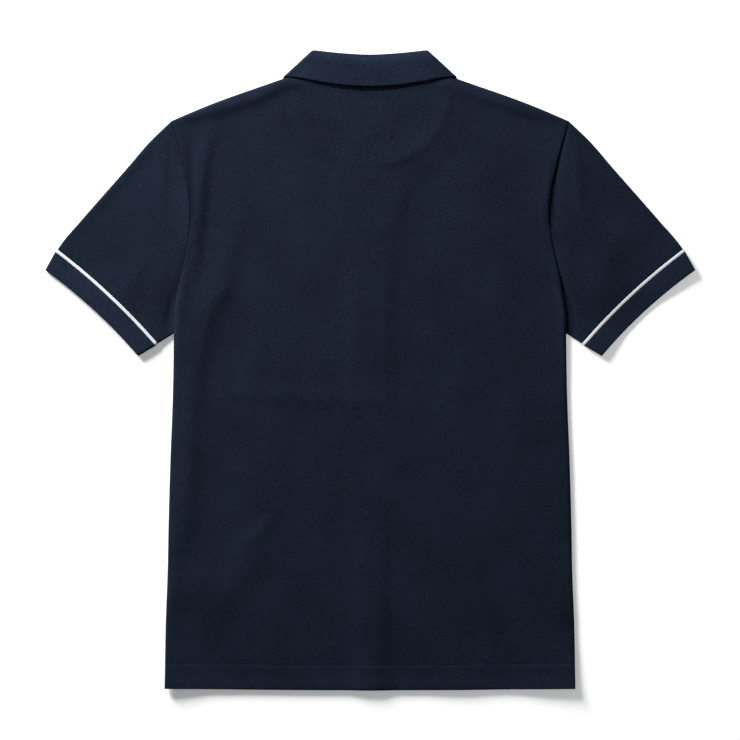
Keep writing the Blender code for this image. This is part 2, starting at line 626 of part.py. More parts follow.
def collar_column(points):
    """Points down one column of the strip: the stand, round the fold and down the fall."""
    neck, stand_fold, fall_fold, edge, way = points
    rows = [blend(neck, stand_fold, i / STAND_ROWS) for i in range(STAND_ROWS + 1)]
    middle, half = 0.5 * (stand_fold + fall_fold), 0.5 * (fall_fold - stand_fold)
    reach = np.linalg.norm(half)
    for i in range(1, FOLD_ROWS):
        angle = np.pi * i / FOLD_ROWS
        rows.append(middle - half * np.cos(angle) + way * reach * np.sin(angle))
    rows += [blend(fall_fold, edge, i / FALL_ROWS) for i in range(FALL_ROWS + 1)]
    return np.array(rows)


def make_collar():
    half = [collar_column(points) for points in collar_half()]
    mirror = np.array((-1.0, 1.0, 1.0))
    grid = np.array([column * mirror for column in half[:0:-1]] + half)
    cloth("collar", grid.transpose(1, 0, 2), NAVY_RIB, flip=True, out=0.5)


# ================================================================ placket and buttons
def band_height(x, y):
    """Underside of the placket's outer band, which lies over the buttons."""
    height = under(x, y)
    for button_y in BUTTON_YS:
        away = np.hypot(x, y - button_y)
        over = (BUTTON_THICK + LAYER) * (1.0 - smooth((away - BUTTON_PAD) / BUTTON_SLOPE))
        height = np.maximum(height, over)
    return height


def make_placket():
    x, y = np.meshgrid(BAND_COLUMNS, (*BAND_ROWS, BAND_TOP))
    base = band_height(x, y)
    outer = np.stack((x, y, base), axis=-1)
    inner = np.stack((x, y, base + CLOTH + LAYER), axis=-1)
    cloth("placket_outer", outer, NAVY, flip=True, level=True)
    cloth("placket_under", inner, NAVY, flip=True, level=True)


def make_buttons():
    for name, y in zip(BUTTON_NAMES, BUTTON_YS):
        bm = bmesh.new()
        bmesh.ops.create_cone(
            bm,
            cap_ends=True,
            segments=20,
            radius1=BUTTON_RADIUS,
            radius2=BUTTON_RADIUS,
            depth=BUTTON_THICK,
        )
        bmesh.ops.translate(bm, vec=(0.0, y, 0.5 * BUTTON_THICK), verts=bm.verts)
        obj = new_object(name, bm, BUTTON)
        edge = obj.modifiers.new("rounded rim", "BEVEL")
        edge.width = BUTTON_RIM * MM
        edge.segments = 1
        obj.data.set_sharp_from_angle(angle=np.radians(40.0))


def main():
    for obj in list(bpy.data.objects):
        bpy.data.objects.remove(obj, do_unlink=True)
    make_back()
    make_front()
    make_sleeves()
    make_collar()
    make_placket()
    make_buttons()


main()
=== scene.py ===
"""A men's short-sleeved polo shirt, laid flat on its front: its cloth, sewing and finishes.

Laid out as a Blender add-on and run as a script.  Each piece of cloth is a grid of points worked
out from the sizes below, with a wall built on it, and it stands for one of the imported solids.

The shirt lies in the XY plane with its neck towards +Y, its back up and the wearer's left at -X.
Two height fields carry the whole garment: under() is the underside of the lower layer, and loft()
is the height from there to the outside of the upper one.  The tables and shape functions are in
millimetres, and MM turns them into metres, which the properties are in.
"""

import json
from collections import namedtuple

import bmesh
import bpy
import numpy as np
from bpy.props import FloatProperty, FloatVectorProperty, PointerProperty
from mathutils import Matrix, Vector, noise


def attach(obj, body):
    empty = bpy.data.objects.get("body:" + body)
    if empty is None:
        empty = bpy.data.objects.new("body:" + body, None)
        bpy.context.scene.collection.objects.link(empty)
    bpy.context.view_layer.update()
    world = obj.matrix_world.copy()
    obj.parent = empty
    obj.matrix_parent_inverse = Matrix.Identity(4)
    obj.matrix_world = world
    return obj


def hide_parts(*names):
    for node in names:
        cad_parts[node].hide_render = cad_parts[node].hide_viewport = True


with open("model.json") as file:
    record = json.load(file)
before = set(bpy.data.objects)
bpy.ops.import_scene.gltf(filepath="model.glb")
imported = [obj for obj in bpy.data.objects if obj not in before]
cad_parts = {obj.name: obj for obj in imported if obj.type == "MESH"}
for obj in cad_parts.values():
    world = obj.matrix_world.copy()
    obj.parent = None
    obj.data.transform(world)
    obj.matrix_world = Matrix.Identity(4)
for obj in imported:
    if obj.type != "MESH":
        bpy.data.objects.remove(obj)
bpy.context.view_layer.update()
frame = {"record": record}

bl_info = {
    "name": "Polo Shirt",
    "version": (1, 0, 0),
    "blender": (4, 5, 0),
    "location": "View3D > Sidebar > Polo Shirt",
    "description": "Dresses a polo shirt's solids with pique, rib knit, piping and sewing",
    "category": "Object",
}

MM = 0.001
BODY = "root"
SLOT_COLOURS = {row["slot"]: row["base_color"] for row in frame["record"]["materials"]}

# ---------------------------------------------------------------- cloth
CLOTH = 1.2  # wall of every piece
SEAM = 0.3  # clearance between pieces that are sewn edge to edge
ARMHOLE_SEAM = 0.25  # the same across the body, where the armhole runs aslant
BACK_NECK_SEAM = 0.05  # the same at the back neck, where a wider one would show the floor
LAYER = 0.3  # clearance between pieces that lie on each other
JUST = 1e-6  # a step too small to see, to stay on one side of a corner
LOFT = 4.2  # height of the shirt at the neck, where the collar is sewn on
EVEN_TOP = 5.0  # how high its top lies over the body and the sleeves
HEM_TOP, HEM_REACH = 3.0, 95.0  # the same at the hem, and how far up from there it grows
SIDE_SWELL = 0.4  # how much higher the shirt stands along its rolled side edges
SWELL_REACH = 26.0  # how far in from the edge that swelling goes
SWELL_FADE = (60.0, 120.0)  # heights up the side between which the swelling halves
MIN_LOFT, MAX_LOFT = 2.9, 9.2  # the shirt's least height, so that its walls stay apart, and its most
LIMIT_EASE = 0.2  # how softly the height meets those limits
DITCH = 0.1  # how much of its half height a panel loses at a sewn edge
DITCH_REACH = 2.4
FOLD_ENDS = 0.05  # a fold starts and ends this share of its bell curve in
THIN_RIM = 0.25  # share of the wall that is left at the very end of a rounded edge

# ---------------------------------------------------------------- body
HEM_Y = -376.6
HEM_BOW = 2.2  # how much lower the hem hangs in the middle than at its ends
HEM_BOW_FADE = 4  # how quickly that bow fades up the panel
HEM_DEPTH = 29.2  # from the hem's edge up to its row of stitches
HEM_FLARE, HEM_FLARE_REACH = 1.5, 20.0  # how much its edge curls up, and over what height
HEM_GROOVE, HEM_GROOVE_HALF = 0.22, 0.9  # depth and half width of the groove along its stitches
HEM_THICKER = 0.2  # how much higher its two layers lie below that groove
HEM_STEP_START, HEM_STEP_REACH = 0.4, 1.6  # how far below the groove they rise, and over what height
HEM_STITCH_INSET = 1.2  # how far from the side edges its stitches stop
UNDERARM_Y = 42.9
TIP_X, TIP_Y = 234.0, 293.8  # the shoulder tip, where shoulder and armhole meet
NECK_X, NECK_Y = 93.0, 346.9  # the shoulder seam's end at the neck
BACK_NECK_Y = 329.2
FRONT_NECK_Y = 262.0
NECK_ROUNDNESS = 1.7  # 2 is a quarter ellipse
NECK_CALM = 8.0  # how far from the back neck its seam keeps the cloth even
NECK_BLEND = 14.0  # length of neck over which its sewn edge turns into the rolled shoulder
SHOULDER_CROWN = 2.2  # how far the shoulder seam bows up
SHOULDER_SKEW = 1.3  # 1 puts the top of that bow in the middle, and more nearer the tip
SIDE_PULL = 3  # how much more a panel's outer columns follow its side than the inner ones

# half the body's width at each height, from the hem up the side seam and the armhole
SideRow = namedtuple("SideRow", "y half_width")
SIDE = (
    SideRow(HEM_Y, 242.0),
    SideRow(-300.0, 241.0),
    SideRow(-240.0, 238.7),
    SideRow(-185.0, 237.7),
    SideRow(-106.0, 235.5),
    SideRow(-30.0, 232.6),
    SideRow(UNDERARM_Y, 231.4),
    SideRow(66.0, 231.2),
    SideRow(103.8, 224.8),
    SideRow(126.3, 219.5),
    SideRow(158.0, 213.0),
    SideRow(192.0, 210.6),
    SideRow(213.6, 213.0),
    SideRow(249.0, 220.9),
    SideRow(TIP_Y, TIP_X),
)
# heights up the side where the armhole seam starts, on the back and on the front
BACK_ARMHOLE = (80.0, 130.0)
FRONT_ARMHOLE = (44.0, 60.0)

# ---------------------------------------------------------------- placket
SLOT_HALF = 16.8
SLOT_BOTTOM = 102.0
BAND_HALF = 16.2
BAND_BOTTOM = SLOT_BOTTOM + 1.0
BAND_TOP = FRONT_NECK_Y - SEAM
BAND_STITCH = 2.2  # how far in from the band's edge its stitches run
BAND_BAR = 14.0  # height of the stitched box at the band's foot
BAND_STITCH_TOP = 1.0  # how far below the band's top its stitches stop
BAND_GROOVE, BAND_GROOVE_HALF = 0.45, 0.8  # depth and half width of the groove along its stitches
BAND_PRESSED = 0.3  # how much thinner the outer band's wall is
BUTTON_YS = (246.0, 182.0)
BUTTON_THICK = 1.6
BUTTON_NAMES = ("button_upper", "button_lower")
BUTTON_PAD, BUTTON_SLOPE = 8.0, 12.0  # where the placket lies level over a button, and its flank
BUTTON_HOLE, BUTTON_HOLE_AWAY = 0.75, 1.45  # a hole's radius, and its distance off both axes
BUTTON_SIDES, HOLE_SIDES = 48, 16  # how many sides a button's round and its holes have
HOLE_LENGTH = 6.0  # of the drill, which passes through the button
BUTTON_SHARP = 40.0  # degrees past which a button's edge stays sharp
WELD = 0.001  # how near two points of a button are when they become one
# a button's section, from the middle of its face round the rim to the middle of its back
ProfileRow = namedtuple("ProfileRow", "radius z")
BUTTON_PROFILE = (
    ProfileRow(0.0, 0.45),
    ProfileRow(3.4, 0.45),
    ProfileRow(3.9, 0.2),
    ProfileRow(4.2, 0.0),
    ProfileRow(5.2, 0.0),
    ProfileRow(5.55, 0.12),
    ProfileRow(5.7, 0.45),
    ProfileRow(5.7, 1.0),
    ProfileRow(5.45, 1.4),
    ProfileRow(4.8, BUTTON_THICK),
    ProfileRow(0.0, BUTTON_THICK),
)
BUTTONHOLE_HALF = (1.2, 7.6)  # the sewn buttonhole's half width and half height

# ---------------------------------------------------------------- sleeves
# the sleeve's end, where the piping starts, from the top fold to the underarm
CUFF_TOP = (368.7, 142.3)
CUFF_UNDER = (250.0, 31.4)
CUFF_BOW = 4.2  # how far that line bows towards the body
PIPING_WIDTH = 3.6
PIPING_RISE = 0.3
PIPING_ROUND = 3.0  # how far from its two folds the piping swells sideways too
CUFF_END_TOP = (383.4, 117.8)
CUFF_END_UNDER = (273.2, 16.4)
CUFF_END_BOW = 4.5
# how far the sleeve's top fold stands out from its chord, along the sleeve
CrownRow = namedtuple("CrownRow", "along out")
SLEEVE_CROWN = (
    CrownRow(0.0, 0.0),
    CrownRow(0.18, 2.8),
    CrownRow(0.36, 2.2),
    CrownRow(0.62, 2.0),
    CrownRow(0.8, 1.7),
    CrownRow(0.94, 1.3),
    CrownRow(1.0, 0.0),
)
# how far the sleeve's upper layer dips beside the armhole seam, and how far out that reaches
DipRow = namedtuple("DipRow", "y left_depth left_reach right_depth right_reach")
ARMHOLE_DIP = (
    DipRow(UNDERARM_Y, 1.2, 8.0, 2.8, 12.0),
    DipRow(60.0, 1.5, 9.0, 3.6, 14.0),
    DipRow(95.0, 1.4, 9.0, 3.2, 12.0),
    DipRow(122.0, 0.7, 7.0, 1.4, 6.0),
    DipRow(140.0, 0.4, 5.0, 0.9, 5.0),
    DipRow(162.0, 0.3, 4.0, 0.5, 6.0),
    DipRow(185.0, 0.3, 3.6, 1.4, 10.0),
    DipRow(206.0, 0.3, 3.6, 1.8, 12.0),
    DipRow(230.0, 0.3, 3.6, 2.2, 9.0),
    DipRow(258.0, 0.3, 3.6, 1.6, 5.0),
    DipRow(280.0, 0.2, 3.0, 1.2, 3.5),
    DipRow(TIP_Y, 0.0, 3.0, 0.5, 3.0),
)
# how much higher the body's edge rolls beside the sleeves, and how much wider than a half circle
RollRow = namedtuple("RollRow", "y left right left_wider right_wider")
EDGE_ROLL = (
    RollRow(HEM_Y, 0.0, 0.0, 1.0, 0.5),
    RollRow(-260.0, 0.0, 0.0, 5.0, 1.5),
    RollRow(-130.0, 0.0, 0.0, 6.0, 2.0),
    RollRow(-30.0, 0.1, 0.0, 3.0, 2.0),
    RollRow(10.0, 0.4, 0.6, 3.0, 2.0),
    RollRow(52.0, 1.2, 1.8, 3.5, 2.2),
    RollRow(90.0, 1.6, 1.6, 3.5, 2.2),
    RollRow(125.0, 0.6, 0.6, 2.0, 1.0),
    RollRow(160.0, 0.2, 0.5, 2.0, 1.0),
    RollRow(205.0, 0.1, 0.8, 0.0, 0.0),
    RollRow(240.0, 0.1, 0.7, 0.0, 0.0),
    RollRow(270.0, 0.0, 0.5, 0.0, 0.0),
    RollRow(TIP_Y, 0.0, 0.0, 0.0, 0.0),
)
EDGE_ROLL_REACH = 14.0

# ---------------------------------------------------------------- collar
FOLD_Y = 371.7  # the fold at the middle of the back
FOLD_CURVE = 1.6  # how the fold rises from there to the side: 1 is straight, 2 a parabola
FOLD_CORNER = (67.3, 378.0)  # where that fold would meet the crease down the side
FALL_SIDE = (102.0, 345.2)  # where the fall's edge turns round the shoulder
TURN_DRIFT = 0.72  # how far the strip slips down that crease for each millimetre that it turns
BACK_SWING = (0.7, 1.3)  # shares of the back neck between which the fold swings to the crease
FRONT_SWING = 0.33  # share of the front neck over which it swings on to the front
FRONT_FOLD = (2.0, 290.0)  # the fold's end at the centre front
LEAF_POINT = (47.5, 254.0)  # the collar's point
FRONT_EDGE = 1.5  # half the gap between the collar's two ends
STAND_FRONT_Z = LAYER + 1.5 * CLOTH
STAND_BACK_Z = CLOTH + LAYER + LOFT - 0.5 * CLOTH
NECK_SETBACK = 1.8  # how far up its crease the stand starts, clear of the shoulder seam's end
NECK_GAP = 1.2 * SEAM  # clearance of its seam along the front neck
LEAF_Z = 0.5 * CLOTH
FALL_FOLD_Z, FALL_EDGE_Z = 7.1, 8.1
FALL_SWELL, FALL_SWELL_REACH = 2.6, 13.0  # how the fall rises from its fold, and over what length
FALL_EDGE_DROP = 1.4  # how much lower its edge lies at the shoulders
# shares of the back neck at which the seam leaves the neck's edge for the crease, and at which the
# fall's edge starts to drop, each with the share that it takes
NECK_LEAVE, FALL_SINK = (0.86, 0.14), (0.7, 0.3)
# the fall's edge over the back, from the middle out
EdgeRow = namedtuple("EdgeRow", "x y")
FALL_EDGE = (
    EdgeRow(0.0, 334.1),
    EdgeRow(20.0, 334.8),
    EdgeRow(59.0, 339.6),
    EdgeRow(86.0, 344.6),
    EdgeRow(97.2, 345.5),
)
# the panels rise over the collar's leaves, out to this margin and then down again
RISE_MARGIN, RISE_FALL = 15.0, 16.0
RISE_PAST_FOLD = 10.0  # how far past the fold the leaves count as reaching
RISE = CLOTH + LAYER

# ---------------------------------------------------------------- how it lies
# where both layers stand off the surface
Lift = namedtuple("Lift", "name x y reach_x reach_y height")
ARMPIT = Lift("the sleeve's dip at the underarm", 246.0, 62.0, 60.0, 60.0, 1.6)
# where the upper layer's top is higher: over the buttons, and inside a half moon at the neck
PLACKET = Lift("upper layer over the placket", 0.0, 214.0, 62.0, 96.0, 1.1)
PLACKET_STEEP = 2.2  # how quickly that rise reaches its full height
HALF_MOON = Lift("upper layer below the back neck", 0.0, 330.0, 98.0, 92.0, 0.7)
HALF_MOON_FALL = 0.14  # share of its reach over which it falls
LIFTS = (
    Lift("hem, left corner", -246.0, -380.0, 62.0, 75.0, 3.4),
    Lift("hem, middle", 2.0, -382.0, 34.0, 60.0, 2.0),
    Lift("hem, right of the middle", 106.0, -384.0, 52.0, 50.0, 1.3),
    Lift("hem, right corner", 236.0, -380.0, 78.0, 85.0, 3.5),
    Lift("right cuff, top fold", 388.0, 120.0, 75.0, 80.0, 3.6),
    Lift("right cuff, underarm", 272.0, 12.0, 50.0, 50.0, 2.4),
    Lift("left cuff", -318.0, 50.0, 90.0, 80.0, 2.0),
    Lift("left cuff, underarm", -262.0, 22.0, 46.0, 46.0, 1.6),
)
# ridges and troughs in the upper layer, each along a path of points, with its width to the left
# and to the right of that path and half the width of its level top
Fold = namedtuple("Fold", "name left right top height path")
FOLDS = (
    Fold("centre crease, upper", 12.0, 15.0, 15.0, 2.2, ((1.5, 165.0), (1.5, 60.0), (1.0, -55.0))),
    Fold("centre crease, middle", 14.0, 22.0, 9.0, 0.6, (
        (2.0, 0.0), (3.0, -100.0), (2.0, -220.0),
    )),
    Fold("centre crease, lower", 11.0, 18.0, 6.0, 2.2, (
        (4.0, -150.0), (5.0, -260.0), (4.0, -400.0),
    )),
    Fold("cross crease", 12.0, 10.0, 0.0, 1.1, (
        (-190.0, -22.0), (-140.0, -28.0), (-88.0, -34.0), (-30.0, -36.0), (26.0, -35.0),
    )),
    Fold("half moon, right", 28.0, 19.0, 0.0, 1.9, (
        (104.0, 334.0), (95.0, 305.0), (87.0, 288.5), (75.0, 272.0), (57.0, 258.0), (35.0, 247.0),
        (2.0, 240.0),
    )),
    Fold("half moon, edge", 5.0, 6.0, 0.0, 0.5, (
        (-88.0, 318.0), (-79.0, 288.0), (-71.0, 275.0), (-59.0, 261.0), (-43.5, 250.0),
        (-23.5, 243.0), (0.0, 240.7), (26.0, 244.0), (47.0, 252.5), (65.0, 265.5), (78.0, 282.0),
        (90.0, 312.0),
    )),
    Fold("left shoulder roll", 7.0, 8.0, 0.0, 2.5, (
        (-24.0, 347.0), (-56.0, 345.0), (-80.0, 341.5), (-96.0, 338.0), (-112.0, 332.0),
        (-135.0, 320.5), (-158.5, 313.0), (-194.0, 303.5), (-238.0, 291.0),
    )),
    Fold("left shoulder roll, outside", 7.0, 7.0, 0.0, 0.8, (
        (-160.0, 312.5), (-194.0, 303.5), (-228.0, 294.0),
    )),
    Fold("right shoulder roll", 8.0, 7.0, 0.0, 2.2, (
        (60.0, 343.0), (84.0, 338.5), (110.0, 330.5), (131.5, 322.5), (161.0, 314.0), (193.0, 303.5),
        (226.0, 295.0),
    )),
    Fold("right shoulder roll, outside", 8.0, 8.0, 0.0, 1.2, (
        (140.0, 320.0), (165.0, 312.5), (193.0, 303.0), (222.0, 295.0),
    )),
    Fold("left armhole ridge", 8.5, 12.0, 0.0, 3.3, (
        (-183.0, 296.0), (-189.0, 271.0), (-195.5, 248.0), (-199.5, 218.0), (-202.0, 186.0),
        (-204.5, 153.0), (-208.0, 127.0), (-214.0, 98.0),
    )),
    Fold("right armhole ridge", 4.5, 16.0, 0.0, 1.3, (
        (211.0, 262.0), (208.0, 225.0), (207.0, 200.0), (206.0, 165.0),
    )),
    Fold("left underarm ridge", 13.0, 26.0, 0.0, 3.1, (
        (-152.0, 184.0), (-160.0, 155.0), (-166.0, 134.5), (-174.0, 98.0), (-186.0, 80.0),
        (-192.5, 62.5), (-197.5, 43.5), (-207.0, 8.0), (-212.0, -10.5), (-213.0, -50.0),
    )),
    Fold("left underarm edge", 13.0, 8.0, 0.0, 1.8, (
        (-211.5, 124.0), (-216.5, 103.0), (-220.4, 82.6), (-222.7, 62.0), (-223.0, 43.0),
        (-222.5, 8.0),
    )),
    Fold("left side ridge", 12.0, 14.0, 0.0, 2.7, (
        (-205.0, 10.0), (-208.0, -35.0), (-212.5, -65.0), (-211.0, -118.0), (-214.5, -153.0),
        (-217.0, -177.0), (-222.0, -195.0), (-232.0, -226.0),
    )),
    Fold("right side ridge", 11.0, 16.0, 0.0, 1.0, (
        (146.0, 104.0), (160.0, 24.0), (170.0, -35.0), (171.0, -83.0), (158.0, -140.0),
    )),
    Fold("lower left ridge", 18.0, 22.0, 0.0, 2.0, (
        (-122.0, -198.0), (-157.0, -246.0), (-175.0, -273.0), (-202.0, -332.0),
    )),
    Fold("left side bump", 24.0, 26.0, 0.0, 3.2, (
        (-176.0, -262.0), (-212.0, -255.0), (-252.0, -248.0),
    )),
    Fold("left hip line", 10.0, 10.0, 0.0, 1.3, (
        (-158.0, -106.0), (-129.0, -155.0), (-115.0, -163.0), (-117.0, -175.0), (-127.0, -192.0),
        (-170.0, -216.0),
    )),
    Fold("lower right trough", 26.0, 10.0, 0.0, -2.1, (
        (122.0, -214.0), (147.0, -265.0), (174.0, -340.0),
    )),
    Fold("right hip ridge", 14.0, 10.0, 0.0, 0.8, (
        (190.0, -228.0), (214.0, -262.0), (232.0, -304.0),
    )),
    Fold("left chest line", 8.0, 8.0, 0.0, 0.5, ((-134.0, 48.0), (-134.0, -20.0))),
    Fold("hem line, left", 7.0, 7.0, 0.0, 0.5, ((-119.0, -314.0), (-107.0, -366.0))),
    Fold("hem line, right", 7.0, 7.0, 0.0, 0.4, ((127.0, -326.0), (141.0, -374.0))),
    # on the sleeves
    Fold("left armhole rise", 5.0, 12.0, 0.0, 2.8, (
        (-223.0, 284.0), (-217.5, 240.0), (-215.0, 215.0), (-213.5, 186.0), (-214.0, 152.0),
    )),
    Fold("right armhole trough", 7.0, 7.0, 0.0, -1.2, ((217.5, 200.0), (219.5, 165.0), (226.0, 134.0))),
    Fold("left cap ridge", 5.0, 9.0, 0.0, 1.0, ((-240.0, 284.0), (-241.5, 242.0), (-243.0, 192.0))),
    Fold("right cap ridge", 6.5, 9.0, 0.0, 1.1, (
        (240.0, 280.0), (244.0, 234.0), (249.0, 190.0), (263.0, 156.0),
    )),
    Fold("left sleeve roll", 7.0, 5.0, 0.0, 0.9, (
        (-252.0, 271.0), (-293.0, 227.0), (-325.0, 191.0), (-350.0, 160.0),
    )),
    Fold("left sleeve ridge", 9.0, 12.0, 0.0, 0.8, ((-266.0, 138.0), (-280.0, 104.0), (-291.0, 70.0))),
    Fold("left armpit crease", 4.0, 5.0, 0.0, -0.9, ((-232.5, 92.0), (-235.5, 74.0), (-240.0, 46.0))),
    Fold("left armpit ridge", 9.0, 11.0, 0.0, 0.9, ((-247.0, 126.0), (-251.0, 82.0), (-255.0, 40.0))),
    Fold("right sleeve ridge", 18.0, 20.0, 0.0, 1.7, ((295.0, 172.0), (277.0, 115.0), (252.0, 60.0))),
    Fold("right sleeve line", 7.0, 9.0, 0.0, 0.5, ((321.0, 188.0), (331.0, 152.0))),
    Fold("right cuff's edge", 22.0, 22.0, 0.0, -2.0, ((392.0, 124.0), (328.0, 67.0), (264.0, 8.0))),
)
# soft unevenness of the cloth, as noise of a size and a height
Ripple = namedtuple("Ripple", "size height")
RIPPLES = (Ripple(105.0, 0.35), Ripple(52.0, 0.2), Ripple(25.0, 0.17), Ripple(13.0, 0.11))
RIPPLE_SEED, RIPPLE_SEED_STEP = 21.0, 5.3  # the first ripple's noise, and from one to the next
DRIFT = Ripple(60.0, 2.0)  # how far the folds stray from their paths
DRIFT_SEEDS = (3.7, 9.2)  # of that noise across and along the shirt

# ---------------------------------------------------------------- mesh stations
ROLL = (0.0, 0.12, 0.45, 1.0, 1.75, 2.7, 4.2)  # distances from a rolled edge
ROUND = (0.0, 0.08, 0.3, 0.6)  # distances from a free edge that round it off
GROOVE = (-2.0, -1.2, -0.6, 0.0, 0.6, 1.2, 2.0)  # distances from a sewn groove
AFTER_ROUND, AFTER_GROOVE = 2.0, 1.0  # where the even rows start, from the hem and from its groove
SEWN = (0.0, 0.5, 1.1, 1.8, 2.6, 4.0)  # distances from a sewn end of a sleeve
CUFF_SEWN = SEWN[:4]
PIPING_EDGE = (0.0, 0.08)  # distances from the piping's edges
SLEEVE_RUN, CUFF_RUN = 180.0, 27.0  # the lengths over which their rings are spaced
PIPING_CELL, CUFF_CELL = 0.35, 2.6  # spacing of their rings
BAND_CELLS = (0.8, 1.2)  # spacing of the placket's points, across and along
COLLAR_CELL = 0.8  # spacing of the collar's columns, as a share of the panels'
SLOT_SAMPLES = 2000  # places at which the front's height is worked out to find the slot's foot
SAME_ROW = 0.001  # shares of the height that count as one row
SAME_COLUMN = 0.01  # how far apart places across count as one column
TURN_STEP = 7.5  # degrees between the collar's columns where it turns round the shoulder
SLOPE_STEP = 0.5  # half the width over which the slope of the front neck is taken
TUBE_GAP = 0.1  # least clearance between a tube's two walls
STAND_ROWS, FOLD_ROWS, FALL_ROWS = 8, 12, 16


# ================================================================ properties
def length_property(name, description, millimetres):
    """A length in metres, with its default given in millimetres."""
    return FloatProperty(
        name=name,
        description=description,
        default=millimetres * MM,
        min=0.0,
        precision=5,
        unit="LENGTH",
    )


def colour_property(name, description, slot):
    """A colour whose default is the record's for that material slot."""
    return FloatVectorProperty(
        name=name,
        description=description,
        subtype="COLOR",
        size=3,
        min=0.0,
        max=1.0,
        default=SLOT_COLOURS[slot],
    )


class PoloSizes(bpy.types.PropertyGroup):
    """Sizes of the shirt's mesh, knit and sewing."""

    cell: length_property("Mesh cell", "Spacing of the points on the panels and sleeves", 3.2)
    pique_across: length_property("Pique width", "Width of one cell of the pique", 1.5)
    pique_along: length_property("Pique height", "Height of one cell of the pique", 1.25)
    pique_depth: length_property("Pique depth", "Depth of the pique's pits", 0.16)
    rib: length_property("Rib pitch", "Distance between two ribs of collar and cuffs", 1.9)
    rib_height: length_property("Rib height", "Height of a rib", 0.16)
    stitch: length_property("Stitch", "Length from one stitch to the next", 2.8)
    thread: length_property("Thread", "Thickness of the sewing thread", 0.42)


class PoloColours(bpy.types.PropertyGroup):
    """Colours of the shirt's finishes."""

    pique: colour_property("Pique", "Panels, sleeves and placket", "navy_pique")
    rib: colour_property("Rib", "Collar and cuffs", "navy_rib")
    piping: colour_property("Piping", "Bands between sleeve and cuff", "white_piping")
    button: colour_property("Button", "Buttons", "navy_button")


class PoloStudio(bpy.types.PropertyGroup):
    """The floor, the light and the camera."""

    width: length_property("Picture width", "Width that the camera takes in", 873.2)
    lens: FloatProperty(name="Lens", description="Focal length in mm", default=100.0, min=20.0)
    key: FloatProperty(name="Key", description="Power of the key light", default=176.0, unit="POWER")
    world: FloatProperty(name="Surround", description="Strength of the pale surround", default=0.18)


# ================================================================ small tools
def smooth(t):
    """Rises from 0 to 1 as t does, level at both ends."""
    t = np.clip(t, 0.0, 1.0)
    return t * t * (3.0 - 2.0 * t)


def bump(t):
    """1 at t = 0 and exactly 0 from t = 1 on."""
    return np.clip(1.0 - t * t, 0.0, None) ** 2


def through(rows, column=1):
    """A smooth function through a table's rows, from its first column to the one given."""
    xs, ys = np.array([(row[0], row[column]) for row in rows]).T
    slopes = np.gradient(ys, xs)

    def value(x):
        """The table's value at x, with even slopes from row to row."""
        x = np.clip(x, xs[0], xs[-1])
        i = np.clip(np.searchsorted(xs, x) - 1, 0, len(xs) - 2)
        width = xs[i + 1] - xs[i]
        t = (x - xs[i]) / width
        ease = t * t * (3.0 - 2.0 * t)
        start = slopes[i] * width * t * (1.0 - t) ** 2
        end = slopes[i + 1] * width * t * t * (t - 1.0)
        return ys[i] * (1.0 - ease) + ys[i + 1] * ease + start + end

    return value


def along_path(x, y, path):
    """How far left of a path of points, and how far along it the nearest one is, 0 to 1."""
    lengths = [np.hypot(q[0] - p[0], q[1] - p[1]) for p, q in zip(path, path[1:])]
    nearest = np.full(np.shape(x), np.inf)
    place, side = np.zeros(np.shape(x)), np.ones(np.shape(x))
    walked = 0.0
    for p, q, length in zip(path, path[1:], lengths):
        ex, ey = (q[0] - p[0]) / length, (q[1] - p[1]) / length
        run = np.clip((x - p[0]) * ex + (y - p[1]) * ey, 0.0, length)
        away = np.hypot(x - p[0] - run * ex, y - p[1] - run * ey)
        closer = away < nearest
        place = np.where(closer, (walked + run) / sum(lengths), place)
        side = np.where(closer, np.sign(ex * (y - p[1]) - ey * (x - p[0])), side)
        nearest = np.minimum(nearest, away)
        walked += length
    return nearest * side, place


def outside_polygon(x, y, corners):
    """Distance outside a convex polygon whose corners run anticlockwise, 0 inside."""
    away = np.full(np.shape(x), np.inf)
    inside = np.ones(np.shape(x), bool)
    for p, q in zip(corners, corners[1:] + corners[:1]):
        ex, ey = q[0] - p[0], q[1] - p[1]
        run = np.clip(((x - p[0]) * ex + (y - p[1]) * ey) / (ex * ex + ey * ey), 0.0, 1.0)
        away = np.minimum(away, np.hypot(x - p[0] - run * ex, y - p[1] - run * ey))
        inside &= ex * (y - p[1]) - ey * (x - p[0]) >= 0.0
    return np.where(inside, 0.0, away)


def blend(p, q, t):
    """The point a share t of the way from p to q."""
    return np.asarray(p) * (1.0 - t) + np.asarray(q) * t


def spread(start, end, step):
    """Even places from start up to but not at end, about step apart."""
    count = max(1, round(abs(end - start) / step))
    return list(np.linspace(start, end, count, endpoint=False))


def noise_field(x, y, size, seed):
    """Smooth noise between about -1 and 1, with features of that size."""
    points = np.stack((x / size, y / size, np.full(np.shape(x), seed)), axis=-1)
    values = [noise.noise(point) for point in points.reshape(-1, 3)]
    return np.reshape(values, np.shape(x))


# ================================================================ height fields
half_width = through(SIDE)
crown = through(SLEEVE_CROWN)
fall_edge = through(FALL_EDGE)
DIP = {-1.0: (through(ARMHOLE_DIP, 1), through(ARMHOLE_DIP, 2)),
       1.0: (through(ARMHOLE_DIP, 3), through(ARMHOLE_DIP, 4))}
ROLL_OVER = {-1.0: (through(EDGE_ROLL, 1), through(EDGE_ROLL, 3)),
             1.0: (through(EDGE_ROLL, 2), through(EDGE_ROLL, 4))}

LEAF_RIM = (
    (-LEAF_POINT[0], LEAF_POINT[1]),
    LEAF_POINT,
    FALL_SIDE,
    (FOLD_CORNER[0], FOLD_CORNER[1] + RISE_PAST_FOLD),
    (-FOLD_CORNER[0], FOLD_CORNER[1] + RISE_PAST_FOLD),
    (-FALL_SIDE[0], FALL_SIDE[1]),
)


